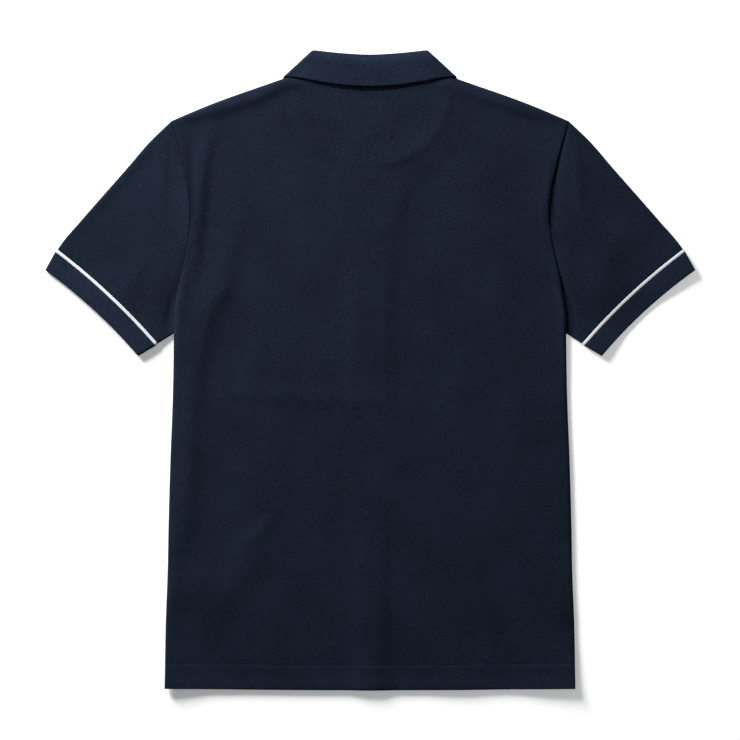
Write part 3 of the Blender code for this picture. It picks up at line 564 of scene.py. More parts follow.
def leaf_rise(x, y):
    """How far the front panel stands over the collar's leaves, which lie under it."""
    return RISE * (1.0 - smooth((outside_polygon(x, y, LEAF_RIM) - RISE_MARGIN) / RISE_FALL))


def under(x, y):
    """Underside of the lower layer: on the surface, but over the collar and where it is lifted."""
    height = leaf_rise(x, y)
    for lift in LIFTS:
        away = np.hypot((x - lift.x) / lift.reach_x, (y - lift.y) / lift.reach_y)
        height = height + lift.height * bump(away)
    return height


def relief(x, y):
    """Height of the upper layer's folds, creases and ripples over its even level."""
    drift_x, drift_y = (DRIFT.height * noise_field(x, y, DRIFT.size, seed) for seed in DRIFT_SEEDS)
    height = np.zeros(np.shape(x))
    for fold in FOLDS:
        away, place = along_path(x + drift_x, y + drift_y, fold.path)
        taper = np.sin(np.pi * blend(FOLD_ENDS, 1.0 - FOLD_ENDS, place))
        width = np.where(away > 0.0, fold.left, fold.right)
        flank = np.clip(np.abs(away) - fold.top, 0.0, None) / width
        height = height + fold.height * taper * np.exp(-flank * flank)
    for i, ripple in enumerate(RIPPLES):
        seed = RIPPLE_SEED + RIPPLE_SEED_STEP * i
        height = height + ripple.height * noise_field(x, y, ripple.size, seed)
    return height


def at_least(height, limit, ease):
    """The height, or the limit where that is more, with a soft turn from one to the other."""
    return limit + ease * np.logaddexp(0.0, (height - limit) / ease)


def loft(x, y, armpit=0.0):
    """Height of the shirt from its underside to its top, with the folds of the upper layer."""
    from_side = half_width(y) - np.abs(x)
    swell = SIDE_SWELL * np.clip(1.0 - np.abs(from_side) / SWELL_REACH, 0.0, 1.0)
    fade = smooth((y - SWELL_FADE[0]) / (SWELL_FADE[1] - SWELL_FADE[0]))
    top = blend(HEM_TOP, EVEN_TOP, smooth((y - HEM_Y) / HEM_REACH)) + swell * (1.0 - 0.5 * fade)
    rim = np.hypot((x - HALF_MOON.x) / HALF_MOON.reach_x, (y - HALF_MOON.y) / HALF_MOON.reach_y)
    top = top + HALF_MOON.height * (1.0 - smooth((rim - 1.0) / HALF_MOON_FALL + 0.5))
    from_neck = np.hypot(np.clip(np.abs(x) - NECK_X, 0.0, None), back_neck(x) - y)
    top = top + relief(x, y) * smooth(from_neck / NECK_CALM)
    away = np.hypot((x - PLACKET.x) / PLACKET.reach_x, (y - PLACKET.y) / PLACKET.reach_y)
    over_bands = PLACKET.height * smooth((1.0 - away) * PLACKET_STEEP)
    raised = at_least(top, EVEN_TOP - PLACKET.height + 2.0 * over_bands, LIMIT_EASE)
    top = np.where(away < 1.0, raised, top)
    height = top - leaf_rise(x, y)
    height = height - armpit * bump(np.hypot(np.abs(x) - ARMPIT.x, y - ARMPIT.y) / ARMPIT.reach_x)
    return MAX_LOFT - at_least(MAX_LOFT - at_least(height, MIN_LOFT, LIMIT_EASE), 0.0, LIMIT_EASE)


def rolled(away, reach):
    """Share of the half height at a distance from an edge that rolls round to the other layer."""
    t = 1.0 - np.clip(away / reach, 0.0, 1.0)
    return np.sqrt(np.clip(1.0 - t * t, 0.0, None))


def ditch(away):
    """Share of the half height at a distance from an edge that is sewn to the next piece."""
    return 1.0 - DITCH * (1.0 - np.clip(away / DITCH_REACH, 0.0, 1.0)) ** 2


def rounded(away, thick=CLOTH):
    """Share of the wall that is left at a distance from its free edge, which is rounded off."""
    t = 1.0 - np.clip(away / (0.5 * thick), 0.0, 1.0)
    return np.sqrt(np.clip(1.0 - t * t, THIN_RIM * THIN_RIM, None))


def back_neck(x):
    """The back neck's edge, and the height of its ends past them."""
    return BACK_NECK_Y + (NECK_Y - BACK_NECK_Y) * np.clip(np.abs(x) / NECK_X, 0.0, 1.0) ** 2


def back_top(x):
    """The back panel's upper edge: shoulder, neck, shoulder."""
    x = np.abs(x)
    return np.where(x < NECK_X, back_neck(x), shoulder(x))


def front_top(x):
    """The front panel's upper edge, with the deeper neck."""
    x = np.abs(x)
    t = np.clip((x - SLOT_HALF) / (NECK_X - SLOT_HALF), 0.0, 1.0)
    drop = (1.0 - t**NECK_ROUNDNESS) ** (1.0 / NECK_ROUNDNESS)
    neck = NECK_Y - (NECK_Y - FRONT_NECK_Y) * drop
    return np.where(x < NECK_X, neck, shoulder(x))


def shoulder(x):
    """The shoulder seam from the neck to the shoulder tip."""
    t = np.clip((x - NECK_X) / (TIP_X - NECK_X), 0.0, 1.0)
    return NECK_Y + (TIP_Y - NECK_Y) * t + SHOULDER_CROWN * np.sin(np.pi * t**SHOULDER_SKEW)


# ================================================================ meshes
def tangents(points, axis, ring):
    """Direction of a grid along one axis, weighted so that uneven steps round a curve stay true."""
    ahead = np.roll(points, -1, axis=axis) - points
    if not ring:
        ahead = np.take(ahead, range(points.shape[axis] - 1), axis=axis)
        first, last = np.take(ahead, [0], axis=axis), np.take(ahead, [-1], axis=axis)
        ahead = np.concatenate((first, ahead, last), axis=axis)
    share = ahead / np.sum(ahead * ahead, axis=-1, keepdims=True)
    if ring:
        return share + np.roll(share, 1, axis=axis)
    count = points.shape[axis]
    return np.take(share, range(count), axis=axis) + np.take(share, range(1, count + 1), axis=axis)


def normals(grid, ring):
    """Unit normals of a grid of points, rows by columns."""
    across = np.cross(tangents(grid, 1, ring), tangents(grid, 0, False))
    return across / np.linalg.norm(across, axis=-1, keepdims=True)


def wall(name, grid, uv, ring=False, flip=False, skip=None, out=0.0, ghosts=False, level=False,
         thick=CLOTH, left=1.0):
    """A cloth wall on a grid of points in millimetres, rows by columns, as an object in metres.

    uv holds the knit's place at each point, with one more column than the grid if ring joins the
    last column to the first.  flip turns the faces over, skip marks cells that are left out, and
    out is the share of the wall that lies outside the grid.  ghosts says that the grid has one
    more column at each side and one more row on top, which only steer the normals.  level keeps
    the wall's thickness upright.  left is the share of the thickness that is left at each point.
    """
    facing = np.array((0.0, 0.0, 1.0)) + 0.0 * grid if level else normals(grid, ring)
    facing = facing * (-1.0 if flip else 1.0)
    if ghosts:
        grid, facing = grid[:-1, 1:-1], facing[:-1, 1:-1]
    rows, columns = grid.shape[:2]
    middle = grid + facing * thick * (out - 0.5)
    half = facing * thick * 0.5 * (left * np.ones((rows, columns)))[..., None]
    points = np.concatenate(((middle + half).reshape(-1, 3), (middle - half).reshape(-1, 3)))
    index = np.arange(rows * columns).reshape(rows, columns)
    place = np.arange(rows * uv.shape[1]).reshape(rows, -1)
    ahead = np.roll(index, -1, axis=1) if ring else index[:, 1:]
    here = index if ring else index[:, :-1]
    cells = np.stack((here[:-1], ahead[:-1], ahead[1:], here[1:]), axis=-1)
    spots = np.stack((place[:-1, :-1], place[:-1, 1:], place[1:, 1:], place[1:, :-1]), axis=-1)
    keep = np.ones(cells.shape[:2], bool) if skip is None else ~skip
    cells, spots = cells[keep], spots[keep]
    if flip:
        cells, spots = cells[:, ::-1], spots[:, ::-1]
    total = rows * columns
    rim, rim_spots = open_edges(cells, spots, total)
    faces = np.concatenate((cells, cells[:, ::-1] + total, rim))
    spots = np.concatenate((spots, spots[:, ::-1], rim_spots))
    used, faces = np.unique(faces, return_inverse=True)
    faces = faces.reshape(-1, 4)
    mesh = bpy.data.meshes.new(name)
    mesh.from_pydata(points[used] * MM, [], faces)
    layer = mesh.uv_layers.new(name="knit")
    layer.data.foreach_set("uv", (uv.reshape(-1, 2)[spots.ravel()] * MM).astype(np.float32).ravel())
    mesh.update()
    mesh.shade_smooth()
    return add_object(name, mesh)


def open_edges(cells, spots, total):
    """Quads that close the wall from its outer to its inner face, with their places in the knit."""
    start, end = cells.ravel(), np.roll(cells, -1, axis=1).ravel()
    start_spot, end_spot = spots.ravel(), np.roll(spots, -1, axis=1).ravel()
    open_ones = ~np.isin(start * total + end, end * total + start)
    start, end = start[open_ones], end[open_ones]
    start_spot, end_spot = start_spot[open_ones], end_spot[open_ones]
    rim = np.stack((end, start, start + total, end + total), axis=-1)
    return rim, np.stack((end_spot, start_spot, start_spot, end_spot), axis=-1)


def add_object(name, mesh):
    """A new object at the origin that shows the mesh."""
    obj = bpy.data.objects.new(name, mesh)
    bpy.context.scene.collection.objects.link(obj)
    return obj


def extra_length(points, axis, middle):
    """How much longer the cloth runs along an axis than its plan, measured from one station."""
    steps = np.diff(points, axis=axis)
    extra = np.linalg.norm(steps, axis=-1) - np.linalg.norm(steps[..., :2], axis=-1)
    extra = np.concatenate((np.zeros_like(np.take(extra, [0], axis=axis)), extra), axis=axis)
    extra = np.cumsum(extra, axis=axis)
    return extra - np.take(extra, [middle], axis=axis)


def area_of(grid):
    """Area of a grid of points in square metres."""
    a, b = np.diff(grid, axis=0)[:, :-1], np.diff(grid, axis=1)[:-1]
    return float(np.linalg.norm(np.cross(a, b), axis=-1).sum()) * MM * MM


def place_piece(obj, nodes, material):
    """Gives a piece its material, its body and the solids that it stands for."""
    if not obj.data.materials:
        obj.data.materials.append(material)
    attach(obj, BODY)
    if nodes:
        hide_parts(*nodes)
    return obj


# ================================================================ node trees
class Graph:
    """Adds nodes to a tree, with their inputs given as values or as other nodes' outputs."""

    def __init__(self, tree):
        self.tree = tree

    def add(self, kind, inputs=None, **settings):
        """A new node of that kind, with its settings and inputs."""
        made = self.tree.nodes.new(kind)
        for key, value in settings.items():
            setattr(made, key, value)
        for key, value in (inputs or {}).items():
            self.feed(made.inputs[key], value)
        return made

    def feed(self, socket, value):
        """Links an output to a socket, or sets the socket's value."""
        if isinstance(value, bpy.types.NodeSocket):
            self.tree.links.new(value, socket)
        else:
            socket.default_value = value

    def math(self, operation, *values):
        """What one operation makes of its values."""
        made = self.add("ShaderNodeMath", dict(enumerate(values)), operation=operation)
        return made.outputs[0]

    def about_zero(self, value):
        """A value between 0 and 1, moved to lie evenly about 0."""
        return self.math("SUBTRACT", value, 0.5)

    def scale_colour(self, colour, factor):
        """The colour made darker or lighter by a factor."""
        made = self.add("ShaderNodeVectorMath", {0: colour}, operation="SCALE")
        self.feed(made.inputs["Scale"], factor)
        return made.outputs[0]


def new_group(name, kind, inputs, outputs):
    """A node group with its sockets, each a (name, socket type, default) row."""
    group = bpy.data.node_groups.new(name, kind)
    for label, socket_type, default in inputs:
        made = group.interface.new_socket(label, in_out="INPUT", socket_type=socket_type)
        if default is not None:
            made.default_value = default
    for label, socket_type in outputs:
        group.interface.new_socket(label, in_out="OUTPUT", socket_type=socket_type)
    graph = Graph(group)
    return group, graph, graph.add("NodeGroupInput").outputs, graph.add("NodeGroupOutput")


# unevenness of the yarn, as noise with so many features to the metre and so much detail
NoiseRow = namedtuple("NoiseRow", "scale detail")
YARN_COARSE, YARN_FINE = NoiseRow(420.0, 2.0), NoiseRow(2600.0, 3.0)
YARN_CLOUDY, YARN_TUFTS = NoiseRow(16.0, 2.0), NoiseRow(170.0, 1.0)
CLOUD_SHARE, TUFT_SHARE = 0.5, 0.25  # how strong the clouds and the tufts are beside the coarse one
YARN_SMOOTHEST, YARN_ROUGHER = 0.82, 0.12  # the least roughness, and how much more its fibres add
RIB_WAVE, ROW_WAVE = 0.4, 0.1  # heights of the waves of the ribs and of the rows that cross them
FIBRE_HEIGHT = 0.35  # height of the fibres beside that of a loop
CLOTH_SPECULAR, SHEEN_ROUGHNESS, SHEEN_TINT = 0.05, 0.45, (0.62, 0.7, 0.9, 1.0)


def yarn_group():
    """Fibres of the yarn: a fine unevenness in colour, height and roughness."""
    found = bpy.data.node_groups.get("yarn")
    if found:
        return found
    number, colour = "NodeSocketFloat", "NodeSocketColor"
    inputs = (("Colour", colour, None), ("Mottle", number, 0.1), ("Fibre", number, 0.2))
    outputs = (("Colour", colour), ("Height", number), ("Roughness", number))
    group, graph, given, result = new_group("yarn", "ShaderNodeTree", inputs, outputs)
    place = graph.add("ShaderNodeTexCoord").outputs["Object"]

    def unevenness(row):
        """The noise that a row describes."""
        settings = {"Vector": place, "Scale": row.scale, "Detail": row.detail}
        return graph.add("ShaderNodeTexNoise", settings).outputs["Fac"]

    coarse, fine = unevenness(YARN_COARSE), unevenness(YARN_FINE)
    cloudy, tufts = unevenness(YARN_CLOUDY), unevenness(YARN_TUFTS)
    tufts = graph.math("MULTIPLY", graph.about_zero(tufts), TUFT_SHARE)
    mottle = graph.math("ADD", graph.about_zero(coarse), tufts)
    mottle = graph.math("MULTIPLY", mottle, given["Mottle"])
    fibre = graph.math("MULTIPLY", graph.about_zero(fine), given["Fibre"])
    cloud_share = graph.math("MULTIPLY", given["Mottle"], CLOUD_SHARE)
    cloud = graph.math("MULTIPLY", graph.about_zero(cloudy), cloud_share)
    shade = graph.math("ADD", graph.math("ADD", mottle, fibre), graph.math("ADD", cloud, 1.0))
    graph.feed(result.inputs["Colour"], graph.scale_colour(given["Colour"], shade))
    graph.feed(result.inputs["Height"], fine)
    rough = graph.math("MULTIPLY_ADD", fine, YARN_ROUGHER, YARN_SMOOTHEST)
    graph.feed(result.inputs["Roughness"], rough)
    return group


def knit_group():
    """Loops of the knit over the piece's own map: raised cells, or ribs, and the pits between."""
    found = bpy.data.node_groups.get("knit")
    if found:
        return found
    number, colour = "NodeSocketFloat", "NodeSocketColor"
    inputs = (
        ("Colour", colour, None),
        ("Across", number, 0.0015),
        ("Along", number, 0.00125),
        ("Ribbed", number, 0.0),
        ("Shade", number, 0.3),
        ("Mottle", number, 0.2),
        ("Fibre", number, 0.2),
    )
    outputs = (("Colour", colour), ("Height", number), ("Roughness", number))
    group, graph, given, result = new_group("knit", "ShaderNodeTree", inputs, outputs)
    uv = graph.add("ShaderNodeUVMap", uv_map="knit").outputs[0]
    parts = graph.add("ShaderNodeSeparateXYZ", {0: uv}).outputs
    turn = 2.0 * np.pi
    across = graph.math("MULTIPLY", graph.math("DIVIDE", parts["X"], given["Across"]), turn)
    along = graph.math("MULTIPLY", graph.math("DIVIDE", parts["Y"], given["Along"]), turn)
    wave_across, wave_along = graph.math("COSINE", across), graph.math("COSINE", along)
    cells = graph.math("MULTIPLY_ADD", graph.math("MULTIPLY", wave_across, wave_along), 0.5, 0.5)
    ribs = graph.math("MULTIPLY_ADD", wave_across, RIB_WAVE, 0.5)
    ribs = graph.math("MULTIPLY_ADD", wave_along, ROW_WAVE, ribs)
    mixed = graph.add("ShaderNodeMix", data_type="FLOAT")
    graph.feed(mixed.inputs["Factor"], given["Ribbed"])
    graph.feed(mixed.inputs["A"], cells)
    graph.feed(mixed.inputs["B"], ribs)
    height = mixed.outputs["Result"]
    yarn = graph.add("ShaderNodeGroup", node_tree=yarn_group())
    for label in ("Colour", "Mottle", "Fibre"):
        graph.feed(yarn.inputs[label], given[label])
    # shade painted into the colour of the pits between the loops, and light painted onto their tops
    shade = graph.math("MULTIPLY", graph.about_zero(height), given["Shade"])
    tint = graph.scale_colour(yarn.outputs["Colour"], graph.math("ADD", shade, 1.0))
    graph.feed(result.inputs["Colour"], tint)
    fibres = graph.math("MULTIPLY_ADD", yarn.outputs["Height"], FIBRE_HEIGHT, height)
    graph.feed(result.inputs["Height"], fibres)
    graph.feed(result.inputs["Roughness"], yarn.outputs["Roughness"])
    return group


# how a finish is knitted: the width and height of its loops, the share of ribs, how much shade is
# painted into the pits between the loops and light onto their tops, how much the yarn's colour
# varies in patches and in its fibres, how deep the bump is, and the sheen, with its lengths in
# metres
Knit = namedtuple("Knit", "name across along ribbed shade mottle fibre depth sheen")


def knit_material(knit, colour):
    """A Principled cloth with its knit, made once."""
    found = bpy.data.materials.get(knit.name)
    if found:
        return found
    made = bpy.data.materials.new(knit.name)
    made.use_nodes = True
    graph = Graph(made.node_tree)
    shader = made.node_tree.nodes["Principled BSDF"]
    surface = graph.add("ShaderNodeGroup", node_tree=knit_group())
    values = {
        "Colour": (*colour, 1.0),
        "Across": knit.across,
        "Along": knit.along,
        "Ribbed": knit.ribbed,
        "Shade": knit.shade,
        "Mottle": knit.mottle,
        "Fibre": knit.fibre,
    }
    for label, value in values.items():
        graph.feed(surface.inputs[label], value)
    relief_node = graph.add("ShaderNodeBump", {"Strength": 1.0, "Distance": knit.depth})
    graph.feed(relief_node.inputs["Height"], surface.outputs["Height"])
    graph.feed(shader.inputs["Base Color"], surface.outputs["Colour"])
    graph.feed(shader.inputs["Roughness"], surface.outputs["Roughness"])
    graph.feed(shader.inputs["Normal"], relief_node.outputs["Normal"])
    shader.inputs["Specular IOR Level"].default_value = CLOTH_SPECULAR
    shader.inputs["Sheen Weight"].default_value = knit.sheen
    shader.inputs["Sheen Roughness"].default_value = SHEEN_ROUGHNESS
    shader.inputs["Sheen Tint"].default_value = SHEEN_TINT
    made.diffuse_color = (*colour, 1.0)
    return made


# how much lighter or darker than its slot's colour each of these reads
RIB_LIGHT, PIPING_LIGHT, THREAD_LIGHT = 1.2, 0.72, 1.3
BUTTON_MOTTLE, BUTTON_ROUGHNESS, BUTTON_COAT = 0.7, 0.28, 0.2


def pique():
    """The pitted knit of the panels, sleeves and placket."""
    sizes = bpy.context.scene.polo_sizes
    knit = Knit(
        name="navy pique",
        across=sizes.pique_across,
        along=sizes.pique_along,
        ribbed=0.0,
        shade=0.8,
        mottle=1.3,
        fibre=0.7,
        depth=sizes.pique_depth,
        sheen=0.04,
    )
    return knit_material(knit, bpy.context.scene.polo_colours.pique)


def rib():
    """The ribbed knit of the collar and cuffs."""
    sizes = bpy.context.scene.polo_sizes
    knit = Knit(
        name="navy rib",
        across=sizes.rib,
        along=0.9 * MM,
        ribbed=1.0,
        shade=0.5,
        mottle=1.5,
        fibre=0.7,
        depth=0.4 * sizes.rib_height,
        sheen=0.06,
    )
    return knit_material(knit, [RIB_LIGHT * value for value in bpy.context.scene.polo_colours.rib])


def piping():
    """The fine knit of the bands between sleeve and cuff."""
    knit = Knit(
        name="white piping",
        across=0.55 * MM,
        along=0.5 * MM,
        ribbed=1.0,
        shade=0.2,
        mottle=0.15,
        fibre=0.15,
        depth=0.05 * MM,
        sheen=0.05,
    )
    colour = bpy.context.scene.polo_colours.piping
    return knit_material(knit, [PIPING_LIGHT * value for value in colour])


def thread():
    """The twisted thread of the sewing."""
    knit = Knit(
        name="navy thread",
        across=0.4 * MM,
        along=0.4 * MM,
        ribbed=0.0,
        shade=0.0,
        mottle=0.3,
        fibre=0.3,
        depth=0.03 * MM,
        sheen=0.3,
    )
    colour = bpy.context.scene.polo_colours.pique
    return knit_material(knit, [THREAD_LIGHT * value for value in colour])


def button_material():
    """Polished plastic with faint clouds in it, made once."""
    found = bpy.data.materials.get("navy button")
    if found:
        return found
    colour = (*bpy.context.scene.polo_colours.button, 1.0)
    made = bpy.data.materials.new("navy button")
    made.use_nodes = True
    graph = Graph(made.node_tree)
    shader = made.node_tree.nodes["Principled BSDF"]
    surface = graph.add("ShaderNodeGroup", node_tree=yarn_group())
    for label, value in {"Colour": colour, "Mottle": BUTTON_MOTTLE, "Fibre": 0.0}.items():
        graph.feed(surface.inputs[label], value)
    graph.feed(shader.inputs["Base Color"], surface.outputs["Colour"])
    shader.inputs["Roughness"].default_value = BUTTON_ROUGHNESS
    shader.inputs["Coat Weight"].default_value = BUTTON_COAT
    return made


# ================================================================ body
def body_grid(half_columns, places, upper_edge, face, sewn_from):
    """Points of a body panel's outside, from the hem up, with a row and columns of ghosts.

    half_columns are the places across the right half, places are the rows' shares of the height,
    and face is 1 on the back and -1 on the front.
    """
    across = np.array(sorted({-c for c in half_columns} | set(half_columns))) / TIP_X
    across, up = np.meshgrid(across, np.array(places))
    side_y = HEM_Y + (TIP_Y - HEM_Y) * up
    width = half_width(side_y)
    nominal = across * TIP_X
    x = nominal + (width - TIP_X) * np.sign(across) * np.abs(across) ** SIDE_PULL
    taller = (upper_edge(nominal) - HEM_Y) / (TIP_Y - HEM_Y)
    y = HEM_Y + (TIP_Y - HEM_Y) * up * (1.0 + (taller - 1.0) * up * up)
    bowed = HEM_BOW * (across * across - 0.5) * (1.0 - up) ** HEM_BOW_FADE
    low, high = under(x, y), loft(x, y)
    from_side, from_top, from_hem = width - np.abs(x), upper_edge(nominal) - y, y - HEM_Y
    sides = zip(ROLL_OVER[-1.0], ROLL_OVER[1.0])
    roll_over, wider = (np.where(x < 0.0, left(y), right(y)) for left, right in sides)
    roll_over = roll_over * bump(from_side / EDGE_ROLL_REACH)
    reach = 0.5 * (high + roll_over)
    side_sewn = smooth((side_y - sewn_from[0]) / (sewn_from[1] - sewn_from[0]))
    neck_sewn = 1.0 - smooth((np.abs(nominal) - NECK_X) / NECK_BLEND + 1.0)
    share = blend(rolled(from_side, reach + wider), ditch(from_side), side_sewn)
    share = share * blend(rolled(from_top, reach), ditch(from_top), neck_sewn)
    top = high + roll_over if face > 0.0 else high
    middle = low + 0.5 * top
    z = middle + face * (0.5 * top * share + 0.5 * SEAM * (1.0 - share))
    z = z + hem_relief(from_hem, face, share)
    grid = np.stack((x, y + bowed, z), axis=-1)
    left = beyond(grid[:, 0], grid[:, 1], side_sewn[:, 0])
    right = beyond(grid[:, -1], grid[:, -2], side_sewn[:, -1])
    grid = np.concatenate((left[:, None], grid, right[:, None]), axis=1)
    sewn = np.concatenate((neck_sewn[-1, :1], neck_sewn[-1], neck_sewn[-1, -1:]))
    return np.concatenate((grid, beyond(grid[-1], grid[-2], sewn)[None]))


def hem_relief(from_hem, face, share):
    """The hem's groove where it is sewn, and the thickness of its two layers below.

    share is the share of the half height that the panel has, so the groove ends at the sides.
    """
    groove = -HEM_GROOVE * share * np.exp(-(((from_hem - HEM_DEPTH) / HEM_GROOVE_HALF) ** 2))
    if face < 0.0:
        return -groove
    flare = HEM_FLARE * (1.0 - smooth(from_hem / HEM_FLARE_REACH))
    below = HEM_DEPTH - HEM_STEP_START - from_hem
    return groove + flare + HEM_THICKER * smooth(below / HEM_STEP_REACH)


def beyond(edge, inside, sewn):
    """Points just past an edge: straight on where it is sewn, and turned back where it rolls."""
    turned = inside.copy()
    turned[:, 2] = 2.0 * edge[:, 2] - inside[:, 2]
    return blend(turned, 2.0 * edge - inside, sewn[:, None])


def panel_map(grid, face):
    """The knit's place at each point of a body panel: its plan, unrolled at the edges."""
    middle = grid.shape[1] // 2
    sideways = extra_length(grid, 1, middle)
    u = grid[..., 0] + np.abs(sideways) * np.sign(grid[..., 0])
    v = grid[..., 1] + extra_length(grid, 0, 0)
    return np.stack((u * face, v), axis=-1)


def body_rows(cell, extra=()):
    """Shares of the height at which a panel has its rows of points."""
    height = TIP_Y - HEM_Y
    groove = [HEM_DEPTH + away for away in GROOVE]
    inner = list(ROUND) + spread(AFTER_ROUND, groove[0], cell) + groove
    inner += spread(groove[-1] + AFTER_GROOVE, height - ROLL[-1], cell)[1:]
    rows = inner + [height - away for away in reversed(ROLL)]
    return sorted({row / height for row in rows} | set(extra))


def half_columns(cell, start):
    """Places across a panel's right half, with closer ones where its side rolls."""
    columns = spread(start, NECK_X, cell) + spread(NECK_X, TIP_X - ROLL[-1], cell)
    return columns + [TIP_X - away for away in reversed(ROLL)]


def make_panel(name, columns, rows, upper_edge, face, sewn_from, skip=None):
    """One body panel with its knit's map, and its area in square metres."""
    grid = body_grid(columns, rows, upper_edge, face, sewn_from)
    outside = grid[:-1, 1:-1]
    left = rounded(outside[..., 1] - HEM_Y)
    made = wall(name, grid, panel_map(outside, face), flip=face < 0.0, ghosts=True, skip=skip,
                left=left)
    return made, area_of(outside)


class PoloBack(bpy.types.Operator):
    """Make the back panel"""

    bl_idname = "polo.back"
    bl_label = "Back Panel"

    def execute(self, context):
        cell = context.scene.polo_sizes.cell / MM
        columns, rows = half_columns(cell, 0.0), body_rows(cell)
        panel, area = make_panel("back_cloth", columns, rows, back_top, 1.0, BACK_ARMHOLE)
        place_piece(panel, ["back_panel"], pique())
        return {"FINISHED"}


class PoloFront(bpy.types.Operator):
    """Make the front panel, which the placket parts"""

    bl_idname = "polo.front"
    bl_label = "Front Panel"

    def execute(self, context):
        cell = context.scene.polo_sizes.cell / MM
        columns = spread(0.0, SLOT_HALF, cell) + half_columns(cell, SLOT_HALF)
        taller = (FRONT_NECK_Y - HEM_Y) / (TIP_Y - HEM_Y)
        ups = np.linspace(0.0, 1.0, SLOT_SAMPLES)
        heights = HEM_Y + (TIP_Y - HEM_Y) * ups * (1.0 + (taller - 1.0) * ups * ups)
        slot_up = float(np.interp(SLOT_BOTTOM, heights, ups))
        rows = sorted([up for up in body_rows(cell) if abs(up - slot_up) > SAME_ROW] + [slot_up])
        across = np.array(sorted({-c for c in columns} | set(columns)))
        half = SLOT_HALF + SAME_COLUMN
        slot = (across[:-1] >= -half) & (across[1:] <= half)
        above = np.array(rows[:-1]) >= slot_up - JUST
        skip = above[:, None] & slot[None]
        panel, area = make_panel("front_cloth", columns, rows, front_top, -1.0, FRONT_ARMHOLE, skip)
        place_piece(panel, ["front_panel"], pique())
        area -= 2.0 * SLOT_HALF * (FRONT_NECK_Y - SLOT_BOTTOM) * MM * MM
        return {"FINISHED"}


# ================================================================ sleeves
def sleeve_way():
    """Unit direction along the sleeve, square to the piping."""
    run = np.subtract(CUFF_UNDER, CUFF_TOP)
    return np.array((-run[1], run[0])) / np.hypot(*run)


SLEEVE_WAY = sleeve_way()


def arm_heights(cell):
    """Heights on the armhole seam from the shoulder tip down to the underarm."""
    inner = spread(UNDERARM_Y + ROLL[-1], TIP_Y - ROLL[-1], cell)[1:]
    edges = [UNDERARM_Y + away for away in ROLL] + [TIP_Y - away for away in ROLL]
    return np.array(sorted(inner + edges, reverse=True))


def cuff_line(share, top_end, under_end, bow, outward):
    """A line across the sleeve's end, bowed towards the body, moved out along the sleeve."""
    line = blend(top_end, under_end, share[:, None])
    return line + np.outer(outward - bow * 4.0 * share * (1.0 - share), SLEEVE_WAY)


# how a tube is shaped: its rings, how far it puffs up and how bluntly, whether each end is sewn,
# whether it has the sleeve's crown, dips and armpit, and whether its end is a free edge
Tube = namedtuple("Tube", "name rings puff puff_power sewn_start sewn_end crowned free_end")


def tube(shape, start, end, heights, side):
    """A flattened tube between two lines in plan, on the side 1 (right) or -1 (left)."""
    share_down = (TIP_Y - heights) / (TIP_Y - UNDERARM_Y)
    length = np.hypot(*(end - start).T)
    depth, reach = DIP[side]
    loops, maps, lefts = [], [], []
    for ring in shape.rings:
        plan = blend(start, end, ring)
        if shape.crowned:
            out = crown(ring) * (1.0 - share_down) ** 2
            plan = plan + np.outer(out, (-SLEEVE_WAY[1], SLEEVE_WAY[0]))
        x, y = plan[:, 0] * side, plan[:, 1]
        high = loft(x, y, ARMPIT.height if shape.crowned else 0.0)
        puff = shape.puff * np.sin(np.pi * ring) ** shape.puff_power if 0.0 < ring < 1.0 else 0.0
        from_top = np.hypot(*(plan - plan[0]).T)
        from_under = np.hypot(*(plan - plan[-1]).T)
        share = rolled(from_top, 0.5 * high) * rolled(from_under, 0.5 * high)
        ends = ditch(ring * length) if shape.sewn_start else 1.0
        ends = ends * (ditch((1.0 - ring) * length) if shape.sewn_end else 1.0)
        dip = 0.0
        if shape.crowned:
            dip = depth(heights) * np.exp(-((ring * length / reach(heights)) ** 2))
        middle = under(x, y) + 0.5 * high
        least = 2.0 * CLOTH + TUBE_GAP - 0.5 * high
        rise = np.maximum(0.5 * high * ends + puff - dip, least)
        upper = np.stack((x, y, middle + rise * share), axis=-1)
        lower = np.stack((x, y, middle - 0.5 * high * ends * share), axis=-1)
        sideways = puff * np.sqrt(0.5)
        swell = sideways * np.outer(np.exp(-from_top / PIPING_ROUND), (side, 1.0))
        swell = swell - sideways * np.outer(np.exp(-from_under / PIPING_ROUND), (side, 1.0))
        upper[:, :2] += swell
        lower[:, :2] += swell
        loop = np.concatenate((lower[::-1], upper[1:-1]))
        loops.append(loop)
        maps.append(tube_map(loop, len(lower), side))
        free = rounded((1.0 - ring) * length) if shape.free_end else np.ones(len(heights))
        lefts.append(np.concatenate((free[::-1], free[1:-1])))
    grid = np.array(loops)
    side_name = "left" if side < 0.0 else "right"
    made = wall(shape.name % side_name, grid, np.array(maps), ring=True, flip=side < 0.0,
                left=np.array(lefts))
    closed = np.concatenate((grid, grid[:, :1]), axis=1)
    around = np.linalg.norm(np.diff(closed, axis=1), axis=-1).sum(axis=1).max() * MM
    return made, around, float(length.max()) * MM, area_of(closed)


def tube_map(loop, count, side):
    """The knit's place round one ring of a tube, whose top fold is at 0."""
    closed = np.concatenate((loop, loop[:1]))
    plan = closed[:, :2] * (side, 1.0)
    across = np.array((-SLEEVE_WAY[1], SLEEVE_WAY[0]))
    top = count - 1
    steps = np.diff(closed, axis=0)
    extra = np.linalg.norm(steps, axis=-1) - np.linalg.norm(steps[:, :2], axis=-1)
    extra = np.concatenate(([0.0], np.cumsum(extra)))
    away = np.abs((plan - plan[top]) @ across) + np.abs(extra - extra[top])
    sign = np.where(np.arange(len(closed)) < top, -1.0, 1.0)
    return np.stack((away * sign, plan @ SLEEVE_WAY), axis=-1)


